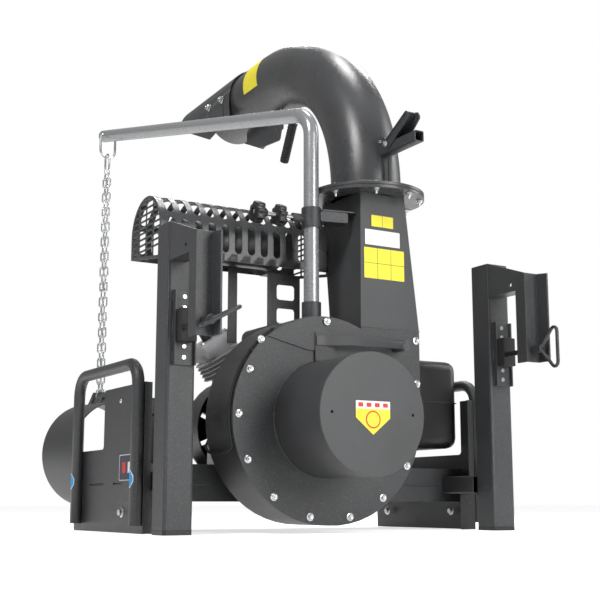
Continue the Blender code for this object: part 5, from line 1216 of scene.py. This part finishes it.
class LEAFVAC_OT_panels(bpy.types.Operator):
    """Adds the plain yellow, white and red panels and the blue markers"""

    bl_idname = "leafvac.panels"
    bl_label = "Plain Panels"

    def execute(self, context):
        self.on_cover()
        self.on_chute()
        self.on_elbow()
        self.on_frame()
        return {"FINISHED"}

    def on_cover(self):
        """A shield-shaped panel with a plain white band, four plain red fields and a red ring."""
        half, high = 0.0500, 0.0410
        place = put(at(-0.091, 0, 0.2785), y=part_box("inlet_cover")[0].y)
        form = bmesh.new()
        label_plate(form, [(half, high), (half, 0.0), (0, -high), (-half, 0.0), (-half, high)], place, RIGHT, UP)
        slab(form, oblong(-half, 0.0215, half, high), place, RIGHT, UP, 0.00075, 2)
        for x in (-0.0360, -0.0120, 0.0120, 0.0360):
            slab(form, rounded(x - 0.0070, 0.0262, x + 0.0070, 0.0362, 0.0015, 2), place, RIGHT, UP, 0.00095, 3)
        for radius, thick, finish in ((0.0215, 0.00080, 3), (0.0180, 0.00095, 0)):
            slab(form, disc(radius, 40), place - UP * 0.0040, RIGHT, UP, thick, finish)
        piece("cover_panel", form, "machine",
              ["Panel Yellow", "Panel Border", "Panel White", "Marker Red"])

    def on_chute(self):
        """Three plain panels on the chute's sloping front face."""
        chute = frame["nodes"]["chute"]
        low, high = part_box("chute")
        front = [v.co for v in chute.data.vertices]
        foot = min((p for p in front if p.z < low.z + 0.004), key=lambda p: p.y)
        head = min((p for p in front if p.z > high.z - 0.004), key=lambda p: p.y)
        up = Vector((0, head.y - foot.y, head.z - foot.z)).normalized()

        def on_face(x, z):
            share = (at(0, 0, z).z - foot.z) / (head.z - foot.z)
            return Vector((at(x, 0, 0).x, foot.y + (head.y - foot.y) * share, at(0, 0, z).z))

        form = bmesh.new()
        for x, z, wide, tall, finish, columns, rows in CHUTE_PANELS:
            centre = on_face(x, z)
            plate = rounded(-wide / 2, -tall / 2, wide / 2, tall / 2, 0.001, 2)
            label_plate(form, plate, centre, RIGHT, up, 0.0015, finish)
            for number in range(1, columns):
                line = -wide / 2 + wide * number / columns
                slab(form, oblong(line - RULE, -tall / 2, line + RULE, tall / 2), centre, RIGHT, up, 0.0007, 1)
            for number in range(1, rows):
                line = -tall / 2 + tall * number / rows
                slab(form, oblong(-wide / 2, line - RULE, wide / 2, line + RULE), centre, RIGHT, up, 0.0007, 1)
        piece("chute_panels", form, "machine", ["Panel Yellow", "Panel Border", "Panel White"])

    def on_elbow(self):
        """One plain panel, curved round the elbow above its outlet run, on the side that faces the handle."""
        form = bmesh.new()
        for inset, lift, finish in ((0.0, 0.0004, 1), (0.0025, 0.0008, 0)):
            rows = []
            for i in range(15):
                angle = math.radians(134 + inset * 580 + (64 - inset * 1160) * i / 14)
                row = []
                for k in range(7):
                    centre, way = elbow_axis(0.560 + inset + (0.098 - 2 * inset) * k / 6)
                    out = Vector((math.cos(angle), 0, 0)) + Vector((0, -way.z, way.y)) * math.sin(angle)
                    row.append(form.verts.new(centre + out * (ELBOW_RADIUS + lift)))
                rows.append(row)
            for a, b in zip(rows, rows[1:]):
                for k in range(6):
                    form.faces.new((a[k], a[k + 1], b[k + 1], b[k])).material_index = finish
        piece("elbow_panel", form, "discharge", ["Panel Yellow", "Panel Border"])

    def on_frame(self):
        """One plain panel with a red and a white field, on the left side panel."""
        place = put(at(0, 0.2695, 0.1663), x=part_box("side_panel_left")[0].x)
        form = bmesh.new()
        label_plate(form, rounded(-0.053, -0.0315, 0.053, 0.0315, 0.004, 3), place, FRONT, UP, 0.0030, 1, 2)
        slab(form, oblong(-0.0335, -0.014, -0.0115, 0.014), place, FRONT, UP, 0.0008, 3)
        slab(form, oblong(0.004, -0.014, 0.044, 0.014), place, FRONT, UP, 0.0008, 2)
        piece("side_panel_plate", form, "machine",
              ["Panel Yellow", "Panel Border", "Panel White", "Marker Red"])
        self.handle_bands()

    def handle_bands(self):
        """Bands of film half round the handle's legs, with a white rim."""
        radius = 0.0160
        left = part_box("lifting_handle")[0].x
        form = bmesh.new()
        for y in (0.170, 0.604):
            centre = put(at(0, y, 0.1350), x=left + radius)
            for lift, wide, tall, finish in ((0.0004, 74.0, 0.0225, 1), (0.0008, 66.0, 0.0200, 0)):
                rows = []
                for i in range(13):
                    angle = math.radians(150.0 - wide + 2 * wide * i / 12)
                    reach = tall * (1.0 if abs(i - 6) < 4 else 1.0 - 0.22 * (abs(i - 6) - 3))
                    out = Vector((math.cos(angle), math.sin(angle), 0)) * (radius + lift)
                    rows.append([form.verts.new(centre + out + UP * height) for height in (-reach, 0, reach)])
                for a, b in zip(rows, rows[1:]):
                    for k in range(2):
                        form.faces.new((a[k], b[k], b[k + 1], a[k + 1])).material_index = finish
        piece("handle_bands", form, "machine", ["Marker Blue", "Panel White"])


# Engine trim and small sheet parts


def seam(form, outline, height, radius, flat):
    """A cord of flattened or raised section along a level outline."""
    swept(form, [Vector((x, y, height)) for x, y in outline], radius, 8, True, None, flat)


class LEAFVAC_OT_engine_trim(bpy.types.Operator):
    """Adds the recoil cover's ribs and screws, head bolts, cap ribs, seams, a clip and the guard's screws"""

    bl_idname = "leafvac.engine_trim"
    bl_label = "Engine Trim"

    def execute(self, context):
        sizes = context.scene.leaf_vacuum_sizes
        self.blower_cover(sizes)
        self.tank()
        self.air_box()
        self.cylinder_head(sizes)
        self.battery()
        self.guard_screws()
        return {"FINISHED"}

    def blower_cover(self, sizes):
        """Ribs between two rings on the recoil cover's back, and its four screws."""
        low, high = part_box("blower_housing")
        centre = put((low + high) / 2, y=at(0, 0.530, 0).y)
        radius = (high.x - low.x) / 2
        form = bmesh.new()
        for number in range(sizes.cooling_ribs):
            angle = math.tau * (number + 0.5) / sizes.cooling_ribs
            out = Vector((math.cos(angle), 0, math.sin(angle)))
            across = out.cross(BACK).normalized()
            if abs(out.x) < 0.5 and out.z < -0.6:
                continue
            slab(form, rounded(-0.0045, radius * 0.60, 0.0045, radius * 0.88, 0.0040), centre, across, out, 0.0030, 0,
                 0.0010)
        for lift, share, thick, count in ((0.0010, 0.93, 0.0030, 64), (0.0008, 0.53, 0.0024, 48)):
            swept(form, circle_path(centre + BACK * lift, BACK, radius * share, count), thick, 8, True)
        piece("recoil_cover_ribs", form, "machine", ["Moulding"], 45)
        form = bmesh.new()
        for angle in (40, 140, 220, 320):
            out = Vector((math.cos(math.radians(angle)), 0, math.sin(math.radians(angle))))
            flange_bolt(form, centre + BACK * 0.001 + out * radius * 0.93, BACK, sizes, 0.8, angle)
        piece("recoil_cover_screws", form, "machine", ["Zinc Steel"])

    def tank(self):
        """The fuel tank's seam, and the ribs and raised middle of its cap."""
        low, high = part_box("fuel_tank")
        form = bmesh.new()
        seam(form, rounded(low.x, low.y, high.x, high.y, 0.022, 6), (low.z + high.z) / 2, 0.0032, 0.6)
        piece("tank_seam", form, "machine", ["Moulding"], 60)
        low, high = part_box("fuel_cap")
        middle = (low + high) / 2
        radius = (high.x - low.x) / 2
        form = bmesh.new()
        for number in range(24):
            angle = math.tau * number / 24
            spot = middle + Vector((math.cos(angle), math.sin(angle), 0)) * (radius * 0.985)
            swept(form, [put(spot, z=low.z + 0.002), put(spot, z=high.z - 0.003)], 0.0016, 6)
        turned(form, [(0, 0), (radius * 0.72, 0), (radius * 0.66, 0.0014), (0, 0.0018)],
               put(middle, z=high.z - 0.0002), UP, 32)
        piece("fuel_cap_ribs", form, "tank_cap", ["Moulding"], 45)

    def air_box(self):
        """The joint line of the air box's lid, with a clip on its back."""
        low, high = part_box("air_cleaner")
        slit = at(0, 0, 0.371).z
        form = bmesh.new()
        seam(form, rounded(at(0.255, 0, 0).x, low.y, high.x, high.y, 0.020, 6), slit, 0.0016, 0.7)
        piece("air_box_seam", form, "machine", ["Moulding"], 50)
        form = bmesh.new()
        slab(form, rounded(-0.009, -0.019, 0.009, 0.015, 0.003), Vector(((low.x + high.x) / 2, high.y, slit)), LEFT,
             UP, 0.0045, 0, 0.0012)
        piece("air_box_clip", form, "machine", ["Zinc Steel"], 50)

    def cylinder_head(self, sizes):
        """Cover bolts on the head's outer face."""
        lean = math.radians(35.0)
        along = Vector((-math.sin(lean), 0, math.cos(lean)))
        across = Vector((math.cos(lean), 0, math.sin(lean)))
        points = [v.co for v in frame["nodes"]["cylinder"].data.vertices]
        top = max(p.dot(along) for p in points)
        ends = [p for p in points if p.dot(along) > top - 0.004]
        centre = sum(ends, Vector()) / len(ends)
        form = bmesh.new()
        for a in (-0.040, 0.040):
            for b in (-0.040, 0.040):
                flange_bolt(form, centre + across * a + BACK * b - along * 0.0003, along, sizes, 0.78, a)
        piece("head_bolts", form, "machine", ["Zinc Steel"])

    def battery(self):
        """The rim of the battery box's lid."""
        low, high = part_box("battery_box")
        form = bmesh.new()
        edge = 0.0026
        outline = rounded(low.x - edge, low.y - edge, high.x + edge, high.y + edge, 0.008, 4)
        seam(form, outline, at(0, 0, 0.305).z, 0.0034, 1.3)
        piece("battery_lid_rim", form, "machine", ["Moulding"], 50)

    def guard_screws(self):
        """Screws along the guard's foot, where it meets its stay and panel."""
        low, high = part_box("exhaust_guard")
        form = bmesh.new()
        for share in (0.06, 0.50, 0.94):
            x = low.x + (high.x - low.x) * share
            domed_bolt(form, Vector((x, high.y, at(0, 0, 0.7375).z)), BACK, 0.0065, 0.0035)
        piece("guard_screws", form, "machine", ["Zinc Steel"])


CABLE_CLIPS = ((-0.290, 0.455), (-0.176, 0.530))


class LEAFVAC_OT_cable_clips(bpy.types.Operator):
    """Adds the small ties that hold the control cable to the scroll's rim"""

    bl_idname = "leafvac.cable_clips"
    bl_label = "Cable Clips"

    def execute(self, context):
        cable = [v.co for v in frame["nodes"]["control_cable"].data.vertices]
        form = bmesh.new()
        for x, z in CABLE_CLIPS:
            target = at(x, 0, z)
            near = sorted(cable, key=lambda p: (p.x - target.x) ** 2 + (p.z - target.z) ** 2)[:8]
            centre = sum(near, Vector()) / len(near)
            spread = sorted(cable, key=lambda p: (p - centre).length)[:24]
            along = max((a - centre for a in spread), key=lambda v: v.length).normalized()
            swept(form, circle_path(centre, along, 0.0062, 20), 0.0018, 8, True, None, 1.8)
            turned(form, [(0, 0), (0.0042, 0), (0.0042, 0.006), (0, 0.007)], centre + FRONT * 0.004, FRONT, 10)
        piece("cable_ties", form, "machine", ["Rubber"], 50)
        return {"FINISHED"}


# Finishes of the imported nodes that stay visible; the others are speckled


NODE_FINISH = {
    "Smooth Coat": ("chute",),
    "Zinc Steel": ("throttle_lever",),
    "Cast Alloy": ("crankcase",),
    "Moulding": ("post_plug_left", "post_plug_right", "engine_switch"),
    "Rubber": ("clamp_pad_left", "clamp_pad_right"),
}


class LEAFVAC_OT_finishes(bpy.types.Operator):
    """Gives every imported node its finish"""

    bl_idname = "leafvac.finishes"
    bl_label = "Finishes"

    def execute(self, context):
        chosen = {name: finish for finish, names in NODE_FINISH.items() for name in names}
        for name, part in frame["nodes"].items():
            finish = material(chosen.get(name, "Speckled Coat"))
            if not part.material_slots:
                part.data.materials.append(finish)
            for slot in part.material_slots:
                slot.material = finish
        return {"FINISHED"}


# Stage


# Name, place from the aim, width and height in metres, and share of the key light
LAMPS = (("Key", (-2.6, -1.6, 2.6), (0.8, 0.9), 1.0), ("Side", (3.4, -0.8, 1.4), (0.8, 2.6), 0.5),
         ("Back", (1.5, 1.8, 2.6), (1.6, 0.8), 0.7), ("Over", (0.4, 0.1, 2.6), (0.7, 0.5), 0.3),
         ("Strip", (0.75, -3.0, 0.5), (1.0, 1.6), 0.5))
FLOOR_GLOW = 0.66                     # strength that shows the floor as pale as the room


class LEAFVAC_OT_stage(bpy.types.Operator):
    """Adds the pale floor, the soft light and the camera"""

    bl_idname = "leafvac.stage"
    bl_label = "Stage"

    def execute(self, context):
        studio = context.scene.leaf_vacuum_studio
        self.floor()
        self.room(context.scene, studio)
        self.lamps(studio)
        self.camera(context.scene, studio)
        context.scene.view_settings.view_transform = "Standard"
        return {"FINISHED"}

    def floor(self):
        form = bmesh.new()
        form.faces.new([form.verts.new((x, y, -0.0005)) for x, y in ((-30, -30), (30, -30), (30, 30), (-30, 30))])
        mesh = bpy.data.meshes.new("floor")
        form.to_mesh(mesh)
        form.free()
        ground = bpy.data.objects.new("floor", mesh)
        bpy.context.scene.collection.objects.link(ground)
        made, tree, shader = started("Pale Floor", 0.75, specular=0.2)
        shader.inputs["Base Color"].default_value = (0.86, 0.86, 0.86, 1)
        shader.inputs["Emission Color"].default_value = (1, 1, 1, 1)
        rays = node(tree, "ShaderNodeLightPath")
        seen = node(tree, "ShaderNodeMath", {0: rays.outputs["Is Camera Ray"], 1: rays.outputs["Is Glossy Ray"]},
                    operation="MAXIMUM")
        glow = node(tree, "ShaderNodeMath", {0: seen.outputs[0], 1: FLOOR_GLOW}, operation="MULTIPLY")
        tree.links.new(glow.outputs[0], shader.inputs["Emission Strength"])
        mesh.materials.append(made)

    def room(self, scene, studio):
        world = bpy.data.worlds.new("Studio Room")
        world.use_nodes = True
        tree = world.node_tree
        tree.nodes.clear()
        rays = node(tree, "ShaderNodeLightPath")
        seen = node(tree, "ShaderNodeMath", {0: rays.outputs["Is Camera Ray"], 1: rays.outputs["Is Transmission Ray"]},
                    operation="MAXIMUM")
        soft = node(tree, "ShaderNodeBackground", {"Color": (1, 1, 1, 1), "Strength": studio.room_light})
        plain = node(tree, "ShaderNodeBackground", {"Color": (1, 1, 1, 1), "Strength": 1.0})
        mix = node(tree, "ShaderNodeMixShader", {0: seen.outputs[0], 1: soft.outputs[0], 2: plain.outputs[0]})
        out = node(tree, "ShaderNodeOutputWorld")
        tree.links.new(mix.outputs[0], out.inputs["Surface"])
        scene.world = world

    def lamps(self, studio):
        aim = at(0.0, 0.25, 0.75)
        for name, offset, size, share in LAMPS:
            data = bpy.data.lights.new(name, "AREA")
            data.shape = "RECTANGLE"
            data.size, data.size_y = size
            data.energy = studio.key_light * share
            lamp = bpy.data.objects.new(name, data)
            bpy.context.scene.collection.objects.link(lamp)
            lamp.location = aim + Vector(offset)
            lamp.rotation_euler = (aim - lamp.location).to_track_quat("-Z", "Y").to_euler()

    def camera(self, scene, studio):
        data = bpy.data.cameras.new("Camera")
        data.sensor_width = 36.0
        data.lens = studio.focal_length
        data.clip_end = 100.0
        eye = bpy.data.objects.new("Camera", data)
        scene.collection.objects.link(eye)
        eye.location = at(*studio.camera_place)
        level = math.cos(studio.tilt)
        forward = Vector((-math.sin(studio.azimuth) * level, math.cos(studio.azimuth) * level, math.sin(studio.tilt)))
        eye.rotation_euler = forward.to_track_quat("-Z", "Y").to_euler()
        scene.camera = eye


# Sidebar and running order


STEPS = ("finishes", "round_parts", "guard", "steering", "side_parts", "fasteners", "welds", "chain", "knobs",
         "panels", "engine_trim", "cable_clips", "stage")


class LEAFVAC_PT_sidebar(bpy.types.Panel):
    """Lists the machine's settings and steps"""

    bl_idname = "LEAFVAC_PT_sidebar"
    bl_label = "Leaf Vacuum"
    bl_space_type = "VIEW_3D"
    bl_region_type = "UI"
    bl_category = "Leaf Vacuum"

    def draw(self, context):
        layout = self.layout
        scene = context.scene
        for title, settings in (("Colours", scene.leaf_vacuum_colours), ("Sizes", scene.leaf_vacuum_sizes),
                                ("Studio", scene.leaf_vacuum_studio)):
            box = layout.box()
            box.label(text=title)
            for prop in settings.bl_rna.properties:
                if prop.identifier not in {"rna_type", "name"}:
                    box.prop(settings, prop.identifier)
        column = layout.column(align=True)
        for step in STEPS:
            column.operator("leafvac." + step)


CLASSES = (LeafVacuumColours, LeafVacuumSizes, LeafVacuumStudio, LEAFVAC_OT_finishes, LEAFVAC_OT_round_parts,
           LEAFVAC_OT_guard, LEAFVAC_OT_steering, LEAFVAC_OT_side_parts, LEAFVAC_OT_fasteners, LEAFVAC_OT_welds,
           LEAFVAC_OT_chain, LEAFVAC_OT_knobs, LEAFVAC_OT_panels, LEAFVAC_OT_engine_trim, LEAFVAC_OT_cable_clips,
           LEAFVAC_OT_stage, LEAFVAC_PT_sidebar)


def register():
    for item in CLASSES:
        bpy.utils.register_class(item)
    bpy.types.Scene.leaf_vacuum_colours = PointerProperty(type=LeafVacuumColours)
    bpy.types.Scene.leaf_vacuum_sizes = PointerProperty(type=LeafVacuumSizes)
    bpy.types.Scene.leaf_vacuum_studio = PointerProperty(type=LeafVacuumStudio)


def unregister():
    del bpy.types.Scene.leaf_vacuum_studio
    del bpy.types.Scene.leaf_vacuum_sizes
    del bpy.types.Scene.leaf_vacuum_colours
    for item in reversed(CLASSES):
        bpy.utils.unregister_class(item)


def main():
    """Builds the dressing in order."""
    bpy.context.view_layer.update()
    register()
    for step in STEPS:
        getattr(bpy.ops.leafvac, step)()


if __name__ == "__main__":
    main()
